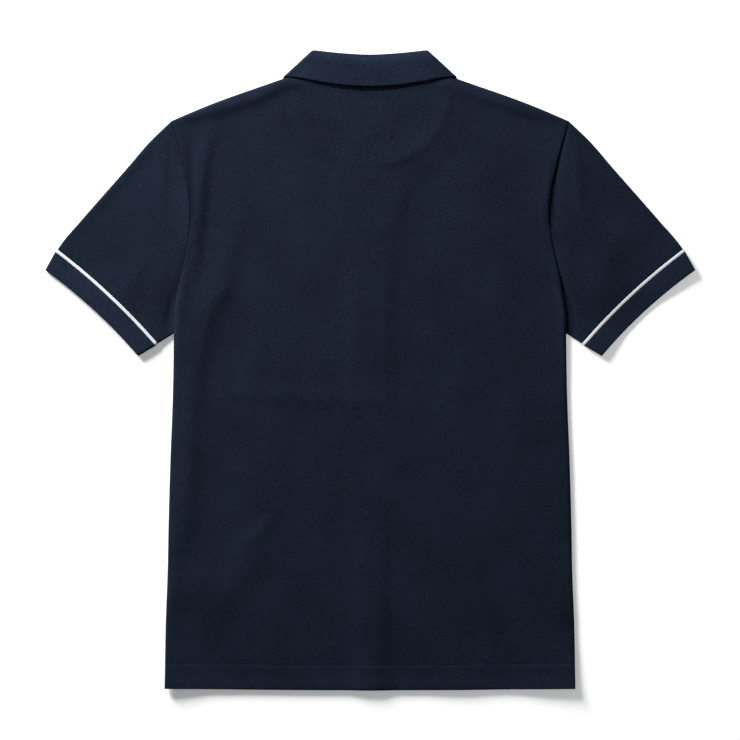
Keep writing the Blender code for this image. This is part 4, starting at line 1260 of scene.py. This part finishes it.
def sleeve_lines(heights):
    """The armhole and the lines where sleeve, piping and cuff start and end, in plan."""
    share = (TIP_Y - heights) / (TIP_Y - UNDERARM_Y)
    piping_at = (0.0, 0.5 * SEAM, 0.5 * SEAM + PIPING_WIDTH, SEAM + PIPING_WIDTH)
    armhole = np.stack((half_width(heights) + ARMHOLE_SEAM, heights), axis=-1)
    lines = [cuff_line(share, CUFF_TOP, CUFF_UNDER, CUFF_BOW, out) for out in piping_at]
    return [armhole, *lines, cuff_line(share, CUFF_END_TOP, CUFF_END_UNDER, CUFF_END_BOW, 0.0)]


def end_stations(length, cell, start, end):
    """Shares of a length, cell apart inside, with the given closer distances at both ends."""
    inner = spread(start[-1], length - end[-1], cell)[1:]
    return [place / length for place in [*start, *inner, *(length - away for away in reversed(end))]]


class PoloSleeves(bpy.types.Operator):
    """Make the two sleeves with their piping and rib cuffs"""

    bl_idname = "polo.sleeves"
    bl_label = "Sleeves, Piping and Cuffs"

    def execute(self, context):
        cell = context.scene.polo_sizes.cell / MM
        heights = arm_heights(cell)
        armhole, sleeve_end, band, band_end, cuff, cuff_end = sleeve_lines(heights)
        sleeve = Tube(
            name="sleeve_%s_cloth",
            rings=end_stations(SLEEVE_RUN, cell, SEWN, SEWN),
            puff=0.0,
            puff_power=1.0,
            sewn_start=True,
            sewn_end=True,
            crowned=True,
            free_end=False,
        )
        edge = Tube(
            name="piping_%s_band",
            rings=end_stations(PIPING_WIDTH, PIPING_CELL, PIPING_EDGE, PIPING_EDGE),
            puff=PIPING_RISE,
            puff_power=0.5,
            sewn_start=False,
            sewn_end=False,
            crowned=False,
            free_end=False,
        )
        knit = Tube(
            name="cuff_%s_rib",
            rings=end_stations(CUFF_RUN, CUFF_CELL, CUFF_SEWN, ROUND),
            puff=0.0,
            puff_power=1.0,
            sewn_start=True,
            sewn_end=False,
            crowned=False,
            free_end=True,
        )
        for side, label in ((-1.0, "left"), (1.0, "right")):
            made, around, length, area = tube(sleeve, armhole, sleeve_end, heights, side)
            place_piece(made, ["sleeve_" + label], pique())
            trim, _, _, _ = tube(edge, band, band_end, heights, side)
            place_piece(trim, ["piping_" + label], piping())
            made, around, length, area = tube(knit, cuff, cuff_end, heights, side)
            place_piece(made, ["cuff_" + label], rib())
        return {"FINISHED"}


# ================================================================ collar
def collar_half(cell):
    """Columns of the collar's right half, from the middle of the back to the centre front.

    Each column is the neck seam, the fold on the stand, the fold on the fall and the fall's edge,
    with the way out of the strip at the fold, and how far the fall rises from its fold.
    """
    crease = np.subtract(FOLD_CORNER, FALL_SIDE)
    crease = crease / np.hypot(*crease)
    outward = np.array((crease[1], -crease[0]))
    fold_reach = 0.5 * (FALL_FOLD_Z - STAND_BACK_Z) + 0.5 * CLOTH
    stand_turn = 0.5 * (STAND_BACK_Z - STAND_FRONT_Z)
    fold_turn = 0.5 * (FALL_FOLD_Z - LEAF_Z)
    edge_turn = 0.5 * (FALL_EDGE_Z - FALL_EDGE_DROP - LEAF_Z)
    fold_axis = np.array(FOLD_CORNER) - outward * (fold_turn + 0.5 * CLOTH)
    neck_axis = np.array((NECK_X, NECK_Y)) - outward * (stand_turn + 0.5 * CLOTH)
    neck_axis = neck_axis + crease * NECK_SETBACK
    edge_axis = np.array(FALL_EDGE[-1])
    fold_slip, edge_slip = -crease * TURN_DRIFT * fold_turn, -crease * TURN_DRIFT * edge_turn
    columns = []

    def add(neck, stand_fold, fall_fold, edge, way, swell=0.0):
        """One more column of the strip."""
        way = way / np.hypot(*way)
        rows = (neck, stand_fold, fall_fold, edge, (*way, 0.0), (0.0, 0.0, swell))
        columns.append([np.array(row, float) for row in rows])

    def way_at(t):
        """The way out at the fold, which swings round from the neck's to the crease's."""
        swung = smooth((t - BACK_SWING[0]) / (BACK_SWING[1] - BACK_SWING[0]))
        return blend((0.0, 1.0), crease, swung)

    for x in spread(0.0, NECK_X, cell) + [NECK_X]:
        t = x / NECK_X
        seam = np.array((x, back_top(x - JUST) + BACK_NECK_SEAM))
        neck = blend(seam, neck_axis, smooth((t - NECK_LEAVE[0]) / NECK_LEAVE[1]))
        rise = (fold_axis[1] - FOLD_Y + fold_reach) * t**FOLD_CURVE
        fold = (fold_axis[0] * t, FOLD_Y - fold_reach + rise)
        edge = (edge_axis[0] * t, fall_edge(edge_axis[0] * t))
        edge_z = FALL_EDGE_Z - FALL_EDGE_DROP * smooth((t - FALL_SINK[0]) / FALL_SINK[1])
        add(
            (*neck, STAND_BACK_Z),
            (*fold, STAND_BACK_Z),
            (*fold, FALL_FOLD_Z),
            (*edge, edge_z),
            way_at(t),
            FALL_SWELL,
        )
    for angle in np.arange(90.0 - TURN_STEP, -90.0, -TURN_STEP):
        out, rise = np.cos(np.radians(angle)) * outward, np.sin(np.radians(angle))
        turned = np.radians(90.0 - angle)

        def on_turn(axis, slip, radius, middle):
            """A point on the turn round the shoulder, at that radius from its axis."""
            return (*(axis + slip * turned + out * radius), middle + rise * radius)

        stand_middle = 0.5 * (STAND_BACK_Z + STAND_FRONT_Z)
        add(
            on_turn(neck_axis, 0.0, stand_turn, stand_middle),
            on_turn(fold_axis, fold_slip, stand_turn, stand_middle),
            on_turn(fold_axis, fold_slip, fold_turn, 0.5 * (FALL_FOLD_Z + LEAF_Z)),
            on_turn(edge_axis, edge_slip, edge_turn, LEAF_Z + edge_turn),
            way_at(blend(1.0, BACK_SWING[1], turned / np.pi)),
            FALL_SWELL * max(rise, 0.0),
        )
    fold_axis, edge_axis = fold_axis + fold_slip * np.pi, edge_axis + edge_slip * np.pi
    seam_xs = spread(SLOT_HALF, NECK_X, cell)
    corner = front_neck_inside(SLOT_HALF)
    centre = np.array((FRONT_EDGE, FRONT_NECK_Y + SEAM))
    seam = [neck_axis] + [front_neck_inside(x) for x in reversed(seam_xs)]
    stretch = np.hypot(*(centre - corner))
    seam += [blend(corner, centre, t) for t in end_stations(stretch, cell, (0.0,), ROUND)[1:]]
    lengths = np.cumsum([0.0] + [np.hypot(*(q - p)) for p, q in zip(seam, seam[1:])])
    run = np.array(FRONT_FOLD) - fold_axis
    front_way = np.array((run[1], -run[0])) / np.hypot(*run)
    for neck, length in zip(seam, lengths):
        t = length / lengths[-1]
        fold = blend(fold_axis, FRONT_FOLD, t)
        edge = blend(edge_axis, LEAF_POINT, t)
        way = blend(crease, front_way, smooth(t / FRONT_SWING))
        add((*neck, STAND_FRONT_Z), (*fold, STAND_FRONT_Z), (*fold, LEAF_Z), (*edge, LEAF_Z), way)
    return columns


def front_neck_inside(x):
    """The collar's seam at the front neck, inside the panel's edge by the seam's clearance."""
    ahead = front_top(min(x + SLOPE_STEP, NECK_X - JUST))
    slope = (ahead - front_top(x - SLOPE_STEP)) / (2.0 * SLOPE_STEP)
    length = np.hypot(1.0, slope)
    return np.array((x - NECK_GAP * slope / length, front_top(x) + NECK_GAP / length))


def collar_column(points):
    """Points down one column of the strip: the stand, round the fold and down the fall."""
    neck, stand_fold, fall_fold, edge, way, swell = points
    rows = [blend(neck, stand_fold, i / STAND_ROWS) for i in range(STAND_ROWS + 1)]
    middle, half = 0.5 * (stand_fold + fall_fold), 0.5 * (fall_fold - stand_fold)
    reach = np.linalg.norm(half)
    for i in range(1, FOLD_ROWS):
        angle = np.pi * i / FOLD_ROWS
        rows.append(middle - half * np.cos(angle) + way * reach * np.sin(angle))
    length = np.linalg.norm(edge - fall_fold)
    for t in end_stations(length, length / FALL_ROWS, (0.0,), ROUND):
        level = np.clip(1.0 - t * length / FALL_SWELL_REACH, 0.0, 1.0) ** 2
        rows.append(blend(fall_fold, edge, t) + swell * (1.0 - level) * (1.0 - t))
    return np.array(rows)


def collar_map(grid):
    """The knit's place on the collar: ribs run down its columns, and rows along the strip."""
    fold_row = STAND_ROWS + FOLD_ROWS // 2
    along = np.linalg.norm(np.diff(grid[fold_row], axis=0), axis=-1)
    u = np.concatenate(([0.0], np.cumsum(along)))
    u = u - u[len(u) // 2]
    down = np.linalg.norm(np.diff(grid, axis=0), axis=-1)
    v = np.concatenate((np.zeros((1, grid.shape[1])), np.cumsum(down, axis=0)))
    return np.stack((np.broadcast_to(u, v.shape), v), axis=-1)


class PoloCollar(bpy.types.Operator):
    """Make the flat-knit collar, a strip that is turned over at its fold"""

    bl_idname = "polo.collar"
    bl_label = "Collar"

    def execute(self, context):
        cell = COLLAR_CELL * context.scene.polo_sizes.cell / MM
        half = [collar_column(points) for points in collar_half(cell)]
        mirror = np.array((-1.0, 1.0, 1.0))
        grid = np.array([column * mirror for column in half[:0:-1]] + half).transpose(1, 0, 2)
        places = collar_map(grid)
        ends = places[..., 0]
        ends = np.minimum(ends - ends[:, :1], ends[:, -1:] - ends)
        from_edge = places[-1:, :, 1] - places[..., 1]
        left = rounded(ends) * rounded(from_edge)
        made = wall("collar_rib", grid, places, flip=True, out=0.5, left=left)
        place_piece(made, ["collar"], rib())
        return {"FINISHED"}


# ================================================================ placket and buttons
def band_height(x, y):
    """Underside of the placket's outer band, which lies over the buttons."""
    height = under(x, y)
    for button_y in BUTTON_YS:
        away = np.hypot(x, y - button_y)
        over = (BUTTON_THICK + LAYER) * (1.0 - smooth((away - BUTTON_PAD) / BUTTON_SLOPE))
        height = np.maximum(height, over)
    return height


def stitched_groove(x, y):
    """How far the outer band is drawn in along its rows of stitches."""
    away = np.abs(np.abs(x) - BAND_HALF + BAND_STITCH)
    away = np.minimum(away, np.abs(y - BAND_BOTTOM - BAND_STITCH))
    away = np.minimum(away, np.abs(y - BAND_BOTTOM - BAND_BAR))
    return BAND_GROOVE * np.exp(-((away / BAND_GROOVE_HALF) ** 2))


class PoloPlacket(bpy.types.Operator):
    """Make the placket's two bands"""

    bl_idname = "polo.placket"
    bl_label = "Placket"

    def execute(self, context):
        across = end_stations(2.0 * BAND_HALF, BAND_CELLS[0], ROUND, ROUND)
        down = end_stations(BAND_TOP - BAND_BOTTOM, BAND_CELLS[1], ROUND, ROUND)
        xs = np.array(across) * 2.0 * BAND_HALF - BAND_HALF
        ys = np.array(down) * (BAND_TOP - BAND_BOTTOM) + BAND_BOTTOM
        x, y = np.meshgrid(xs, ys)
        base = band_height(x, y)
        left = rounded(BAND_HALF - np.abs(x)) * rounded(np.minimum(y - BAND_BOTTOM, BAND_TOP - y))
        places = np.stack((x, y), axis=-1)
        for name, rise, thick in (
            ("placket_outer", stitched_groove(x, y), CLOTH - BAND_PRESSED),
            ("placket_under", CLOTH + LAYER, CLOTH),
        ):
            grid = np.stack((x, y, base + rise), axis=-1)
            made = wall(name + "_cloth", grid, places, flip=True, level=True, thick=thick, left=left)
            place_piece(made, [name], pique())
        return {"FINISHED"}


def button_mesh(name):
    """A turned four-hole button with a raised rim, its face towards -Z."""
    bm = bmesh.new()
    edge = [bm.verts.new((row.radius, 0.0, row.z)) for row in BUTTON_PROFILE]
    for a, b in zip(edge, edge[1:]):
        bm.edges.new((a, b))
    bmesh.ops.spin(bm, geom=bm.verts[:] + bm.edges[:], cent=(0, 0, 0), axis=(0, 0, 1),
                   angle=2.0 * np.pi, steps=BUTTON_SIDES, use_merge=True, use_duplicate=False)
    bmesh.ops.remove_doubles(bm, verts=bm.verts, dist=WELD)
    bmesh.ops.recalc_face_normals(bm, faces=bm.faces)
    bmesh.ops.scale(bm, vec=(MM, MM, MM), verts=bm.verts)
    mesh = bpy.data.meshes.new(name)
    bm.to_mesh(mesh)
    bm.free()
    return mesh


def drill(obj, centre_y):
    """Cuts the four holes through a button.

    The drill is turned by half a side, so that no corner of a hole lies on an edge of the button's
    flat face, where the cut would leave slivers.
    """
    bm = bmesh.new()
    turn = Matrix.Rotation(np.pi / HOLE_SIDES, 4, "Z")
    away, middle = BUTTON_HOLE_AWAY, 0.5 * BUTTON_THICK
    for sx in (-away, away):
        for sy in (-away, away):
            place = Matrix.Translation((sx, centre_y + sy, middle))
            bmesh.ops.create_cone(bm, cap_ends=True, segments=HOLE_SIDES, radius1=BUTTON_HOLE,
                                  radius2=BUTTON_HOLE, depth=HOLE_LENGTH, matrix=place @ turn)
    bmesh.ops.scale(bm, vec=(MM, MM, MM), verts=bm.verts)
    mesh = bpy.data.meshes.new("holes")
    bm.to_mesh(mesh)
    bm.free()
    cutter = add_object("holes", mesh)
    cut = obj.modifiers.new("holes", "BOOLEAN")
    cut.operation, cut.object, cut.solver = "DIFFERENCE", cutter, "EXACT"
    freeze(obj)
    bpy.data.objects.remove(cutter)


def freeze(obj):
    """Turns what an object's modifiers make into its plain mesh."""
    graph = bpy.context.evaluated_depsgraph_get()
    made = bpy.data.meshes.new_from_object(obj.evaluated_get(graph))
    obj.modifiers.clear()
    obj.data = made


class PoloButtons(bpy.types.Operator):
    """Make the placket's buttons"""

    bl_idname = "polo.buttons"
    bl_label = "Buttons"

    def execute(self, context):
        for name, y in zip(BUTTON_NAMES, BUTTON_YS):
            mesh = button_mesh(name + "_disc")
            mesh.transform(Matrix.Translation((0.0, y * MM, 0.0)))
            obj = add_object(name + "_disc", mesh)
            drill(obj, y)
            obj.data.shade_smooth()
            obj.data.set_sharp_from_angle(angle=np.radians(BUTTON_SHARP))
            place_piece(obj, [name], button_material())
        return {"FINISHED"}


# ================================================================ sewing
STITCH_SIDES, STITCH_RINGS = 8, 6  # of the bead that each stitch is
# in thicknesses of the thread: the least height of its middle over the surface that the shirt lies
# on, and how far it stands out of the cloth or lies in it
LOWEST, PROUD, SUNK = 0.55, 0.1, 0.2
BUTTONHOLE_PITCH, BUTTON_PITCH = 0.45, 0.5  # spacing of those stitches
BUTTONHOLE_POINTS = 49  # of the oval path round a buttonhole
HEM_ROW_AWAY = 0.001  # how far from the hem's stitches the rows lie that give them their slope
# the two threads between a button's holes: half their distance, how far from the middle they bend,
# and their heights in a hole and between the holes
THREAD_APART, THREAD_BEND, THREAD_IN_HOLE, THREAD_LOW = 0.25, 0.6, 0.75, 0.42
# a row of stitches: its spacing, each stitch's length in spacings and thickness in threads, and how
# far a stitch is turned from its path
StitchRow = namedtuple("StitchRow", "name paths pitch reach share turn")


def stitch_tree():
    """Geometry nodes that lay stitches along the edges of a mesh."""
    found = bpy.data.node_groups.get("stitches")
    if found:
        return found
    number = "NodeSocketFloat"
    inputs = (
        ("Geometry", "NodeSocketGeometry", None),
        ("Pitch", number, 0.0028),
        ("Length", number, 0.0024),
        ("Thickness", number, 0.0004),
        ("Turn", number, 0.0),
        ("Thread", "NodeSocketMaterial", None),
    )
    outputs = (("Geometry", "NodeSocketGeometry"),)
    group, graph, given, result = new_group("stitches", "GeometryNodeTree", inputs, outputs)
    path = graph.add("GeometryNodeMeshToCurve", {"Mesh": given["Geometry"]})
    dots = graph.add("GeometryNodeResampleCurve", {"Curve": path.outputs[0]})
    set_mode(dots, "Length")
    graph.feed(dots.inputs["Length"], given["Pitch"])
    tangent = graph.add("GeometryNodeInputTangent").outputs[0]
    turned = graph.add("ShaderNodeVectorRotate", {"Vector": tangent}, rotation_type="Z_AXIS")
    graph.feed(turned.inputs["Angle"], given["Turn"])
    aim = graph.add("FunctionNodeAlignRotationToVector", {"Vector": turned.outputs[0]}, axis="X")
    size = graph.add("ShaderNodeCombineXYZ", {"X": given["Length"]})
    graph.feed(size.inputs["Y"], given["Thickness"])
    graph.feed(size.inputs["Z"], given["Thickness"])
    settings = {"Segments": STITCH_SIDES, "Rings": STITCH_RINGS, "Radius": 0.5}
    bead = graph.add("GeometryNodeMeshUVSphere", settings)
    placed = graph.add("GeometryNodeInstanceOnPoints", {"Points": dots.outputs[0]})
    graph.feed(placed.inputs["Instance"], bead.outputs[0])
    graph.feed(placed.inputs["Rotation"], aim.outputs[0])
    graph.feed(placed.inputs["Scale"], size.outputs[0])
    real = graph.add("GeometryNodeRealizeInstances", {0: placed.outputs[0]})
    smoothed = graph.add("GeometryNodeSetShadeSmooth", {"Geometry": real.outputs[0]})
    finished = graph.add("GeometryNodeSetMaterial", {"Geometry": smoothed.outputs[0]})
    graph.feed(finished.inputs["Material"], given["Thread"])
    graph.feed(result.inputs["Geometry"], finished.outputs[0])
    return group


def set_mode(node, mode):
    """Picks a mode by its name, on the node or on its menu socket."""
    if hasattr(node, "mode"):
        node.mode = mode.upper()
    else:
        node.inputs["Mode"].default_value = mode


def sew(row, thickness, material):
    """A row of stitches along each of its paths of points in millimetres, as one plain mesh."""
    points, edges = [], []
    for path in row.paths:
        first = len(points)
        points += [tuple(np.array(point) * MM) for point in path]
        edges += [(i, i + 1) for i in range(first, len(points) - 1)]
    mesh = bpy.data.meshes.new(row.name)
    mesh.from_pydata(points, edges, [])
    obj = add_object(row.name, mesh)
    nodes = obj.modifiers.new("stitches", "NODES")
    nodes.node_group = stitch_tree()
    values = {
        "Pitch": row.pitch,
        "Length": row.pitch * row.reach,
        "Thickness": thickness * row.share,
        "Turn": row.turn,
        "Thread": material,
    }
    for item in nodes.node_group.interface.items_tree:
        if item.in_out == "INPUT" and item.name in values:
            nodes[item.identifier] = values[item.name]
    freeze(obj)
    return obj


def hem_paths(cell, thickness):
    """The hem's row of stitches, on the back and on the front."""
    columns = half_columns(cell, 0.0)
    row = HEM_DEPTH / (TIP_Y - HEM_Y)
    paths = []
    rows = (row - HEM_ROW_AWAY, row, row + HEM_ROW_AWAY)
    inside = half_width(HEM_Y + HEM_DEPTH) - HEM_STITCH_INSET
    panels = ((1.0, back_top, BACK_ARMHOLE), (-1.0, front_top, FRONT_ARMHOLE))
    for face, upper_edge, armhole in panels:
        grid = body_grid(columns, rows, upper_edge, face, armhole)[1, 1:-1]
        grid = grid[np.abs(grid[:, 0]) < inside]
        path = grid + np.array((0.0, 0.0, face * PROUD * thickness))
        path[:, 2] = np.maximum(path[:, 2], LOWEST * thickness)
        paths.append(path)
    return paths


def band_paths(thickness):
    """Rows of stitches round the outer band, with the box at its foot."""
    side, low, high = BAND_HALF - BAND_STITCH, BAND_BOTTOM + BAND_STITCH, BAND_TOP - BAND_STITCH_TOP
    bar = BAND_BOTTOM + BAND_BAR
    routes = (
        ((-side, high), (-side, low), (side, low), (side, high)),
        ((-side, bar), (side, bar)),
        ((-side, low), (side, bar)),
        ((side, low), (-side, bar)),
    )
    paths = []
    for route in routes:
        path = []
        for p, q in zip(route, route[1:]):
            count = max(2, int(np.hypot(q[0] - p[0], q[1] - p[1])))
            path += [blend(p, q, t) for t in np.linspace(0.0, 1.0, count, endpoint=False)]
        path.append(np.array(route[-1]))
        x, y = np.array(path).T
        z = band_height(x, y) + stitched_groove(x, y) - SUNK * thickness
        paths.append(np.stack((x, y, np.maximum(z, LOWEST * thickness)), axis=-1))
    return paths


def buttonhole_paths(thickness):
    """An oval round each buttonhole."""
    turns = np.linspace(0.0, 2.0 * np.pi, BUTTONHOLE_POINTS)
    paths = []
    for button_y in BUTTON_YS:
        x = BUTTONHOLE_HALF[0] * np.cos(turns)
        y = button_y + BUTTONHOLE_HALF[1] * np.sin(turns)
        paths.append(np.stack((x, y, band_height(x, y) + PROUD * thickness), axis=-1))
    return paths


def button_thread_paths():
    """Threads through each button's four holes."""
    away = BUTTON_HOLE_AWAY
    paths = []
    for y in BUTTON_YS:
        for hole_x in (-away, away):
            for shift in (-THREAD_APART, THREAD_APART):
                x = hole_x + shift
                paths.append([
                    (x, y - away, THREAD_IN_HOLE),
                    (x, y - THREAD_BEND, THREAD_LOW),
                    (x, y + THREAD_BEND, THREAD_LOW),
                    (x, y + away, THREAD_IN_HOLE),
                ])
    return paths


class PoloSewing(bpy.types.Operator):
    """Sew the hem, the placket, the buttonholes and the buttons"""

    bl_idname = "polo.sewing"
    bl_label = "Sewing"

    def execute(self, context):
        sizes = context.scene.polo_sizes
        cell, thick = sizes.cell / MM, sizes.thread / MM
        rows = (
            StitchRow(
                name="stitches_hem",
                paths=hem_paths(cell, thick),
                pitch=sizes.stitch,
                reach=0.86,
                share=1.0,
                turn=0.0,
            ),
            StitchRow(
                name="stitches_placket",
                paths=band_paths(thick),
                pitch=sizes.stitch,
                reach=0.86,
                share=1.0,
                turn=0.0,
            ),
            StitchRow(
                name="stitches_buttonholes",
                paths=buttonhole_paths(thick),
                pitch=BUTTONHOLE_PITCH * MM,
                reach=3.6,
                share=0.9,
                turn=0.5 * np.pi,
            ),
            StitchRow(
                name="stitches_buttons",
                paths=button_thread_paths(),
                pitch=BUTTON_PITCH * MM,
                reach=2.0,
                share=0.8,
                turn=0.0,
            ),
        )
        for row in rows:
            made = sew(row, sizes.thread, thread())
            place_piece(made, [], thread())
        return {"FINISHED"}


# ================================================================ stage
# lengths here are in metres
FLOOR_HALF, FLOOR_CELLS = 6.0, 8
FLOOR_DROP = 0.0002  # how far under the shirt the floor lies, so that the two don't coincide
FLOOR_COLOUR, FLOOR_MOTTLE, FLOOR_ROUGHNESS = (0.88, 0.88, 0.87, 1.0), 0.01, 0.9
GLOW_COLOUR = (1.0, 1.0, 1.0, 1.0)
SURROUND_COLOUR = (0.93, 0.95, 1.0, 1.0)
NEAREST, FARTHEST = 0.01, 50.0  # how near and how far the camera sees
KEY_FROM = (-1.43, 1.815, 0.957)  # the key light stands up and left of the shirt
KEY_SIZE = 1.0
FLOOR_GLOW = 0.306  # light of its own that the floor gives at the middle of the shirt
GLOW_RISE = (0.26, 0.12)  # how much more of it there is for each metre along X and along Y


def area_light(name, place, size, power):
    """A square light that looks at the middle of the shirt and isn't seen itself."""
    data = bpy.data.lights.new(name, "AREA")
    data.size, data.energy = size, power
    obj = add_object(name, data)
    obj.location = place
    obj.rotation_euler = Vector(place).to_track_quat("Z", "Y").to_euler()
    obj.visible_camera = False
    return obj


def floor_material():
    """A pale floor that glows a little, and more where the key light is weaker."""
    made = bpy.data.materials.new("pale floor")
    made.use_nodes = True
    graph = Graph(made.node_tree)
    shader = made.node_tree.nodes["Principled BSDF"]
    surface = graph.add("ShaderNodeGroup", node_tree=yarn_group())
    for label, value in {"Colour": FLOOR_COLOUR, "Mottle": FLOOR_MOTTLE, "Fibre": 0.0}.items():
        graph.feed(surface.inputs[label], value)
    graph.feed(shader.inputs["Base Color"], surface.outputs["Colour"])
    place = graph.add("ShaderNodeTexCoord").outputs["Object"]
    parts = graph.add("ShaderNodeSeparateXYZ", {0: place}).outputs
    glow = graph.math("MULTIPLY_ADD", parts["X"], GLOW_RISE[0], FLOOR_GLOW)
    glow = graph.math("MULTIPLY_ADD", parts["Y"], GLOW_RISE[1], glow)
    glow = graph.math("MINIMUM", graph.math("MAXIMUM", glow, 0.0), 2.0 * FLOOR_GLOW)
    shader.inputs["Emission Color"].default_value = GLOW_COLOUR
    graph.feed(shader.inputs["Emission Strength"], glow)
    shader.inputs["Roughness"].default_value = FLOOR_ROUGHNESS
    shader.inputs["Specular IOR Level"].default_value = 0.0
    return made


class PoloStage(bpy.types.Operator):
    """Set the pale floor, the soft light and the camera straight above"""

    bl_idname = "polo.stage"
    bl_label = "Stage"

    def execute(self, context):
        studio = context.scene.polo_studio
        bm = bmesh.new()
        level = Matrix.Translation((0.0, 0.0, -FLOOR_DROP))
        bmesh.ops.create_grid(bm, x_segments=FLOOR_CELLS, y_segments=FLOOR_CELLS, size=FLOOR_HALF,
                              matrix=level)
        mesh = bpy.data.meshes.new("floor")
        bm.to_mesh(mesh)
        bm.free()
        mesh.materials.append(floor_material())
        floor = add_object("floor", mesh)
        area_light("key", KEY_FROM, KEY_SIZE, studio.key)
        world = bpy.data.worlds.new("pale surround")
        world.use_nodes = True
        surround = world.node_tree.nodes["Background"]
        surround.inputs["Color"].default_value = SURROUND_COLOUR
        surround.inputs["Strength"].default_value = studio.world
        context.scene.world = world
        context.scene.view_settings.view_transform = "Standard"
        camera = bpy.data.cameras.new("above")
        camera.lens = studio.lens
        camera.clip_start, camera.clip_end = NEAREST, FARTHEST
        eye = add_object("above", camera)
        middle = 0.5 * LOFT * MM
        eye.location = (0.0, 0.0, middle + studio.width * studio.lens / camera.sensor_width)
        context.scene.camera = eye
        return {"FINISHED"}


# ================================================================ add-on
STEPS = (PoloBack, PoloFront, PoloSleeves, PoloCollar, PoloPlacket, PoloButtons, PoloSewing, PoloStage)


class PoloPanel(bpy.types.Panel):
    """Lists the shirt's pieces and sizes in the 3D view's sidebar"""

    bl_idname = "VIEW3D_PT_polo"
    bl_label = "Polo Shirt"
    bl_space_type = "VIEW_3D"
    bl_region_type = "UI"
    bl_category = "Polo Shirt"

    def draw(self, context):
        for step in STEPS:
            self.layout.operator(step.bl_idname)
        scene = context.scene
        for group in (scene.polo_sizes, scene.polo_colours, scene.polo_studio):
            box = self.layout.box()
            for name in type(group).__annotations__:
                box.prop(group, name)


CLASSES = (PoloSizes, PoloColours, PoloStudio, *STEPS, PoloPanel)


def register():
    """Adds the classes to Blender, and the properties to its scenes."""
    for made in CLASSES:
        bpy.utils.register_class(made)
    bpy.types.Scene.polo_sizes = PointerProperty(type=PoloSizes)
    bpy.types.Scene.polo_colours = PointerProperty(type=PoloColours)
    bpy.types.Scene.polo_studio = PointerProperty(type=PoloStudio)


def unregister():
    """Takes both away again."""
    del bpy.types.Scene.polo_sizes
    del bpy.types.Scene.polo_colours
    del bpy.types.Scene.polo_studio
    for made in reversed(CLASSES):
        bpy.utils.unregister_class(made)


def main():
    """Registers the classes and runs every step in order."""
    register()
    for step in STEPS:
        group, name = step.bl_idname.split(".")
        getattr(getattr(bpy.ops, group), name)()


if __name__ == "__main__":
    main()
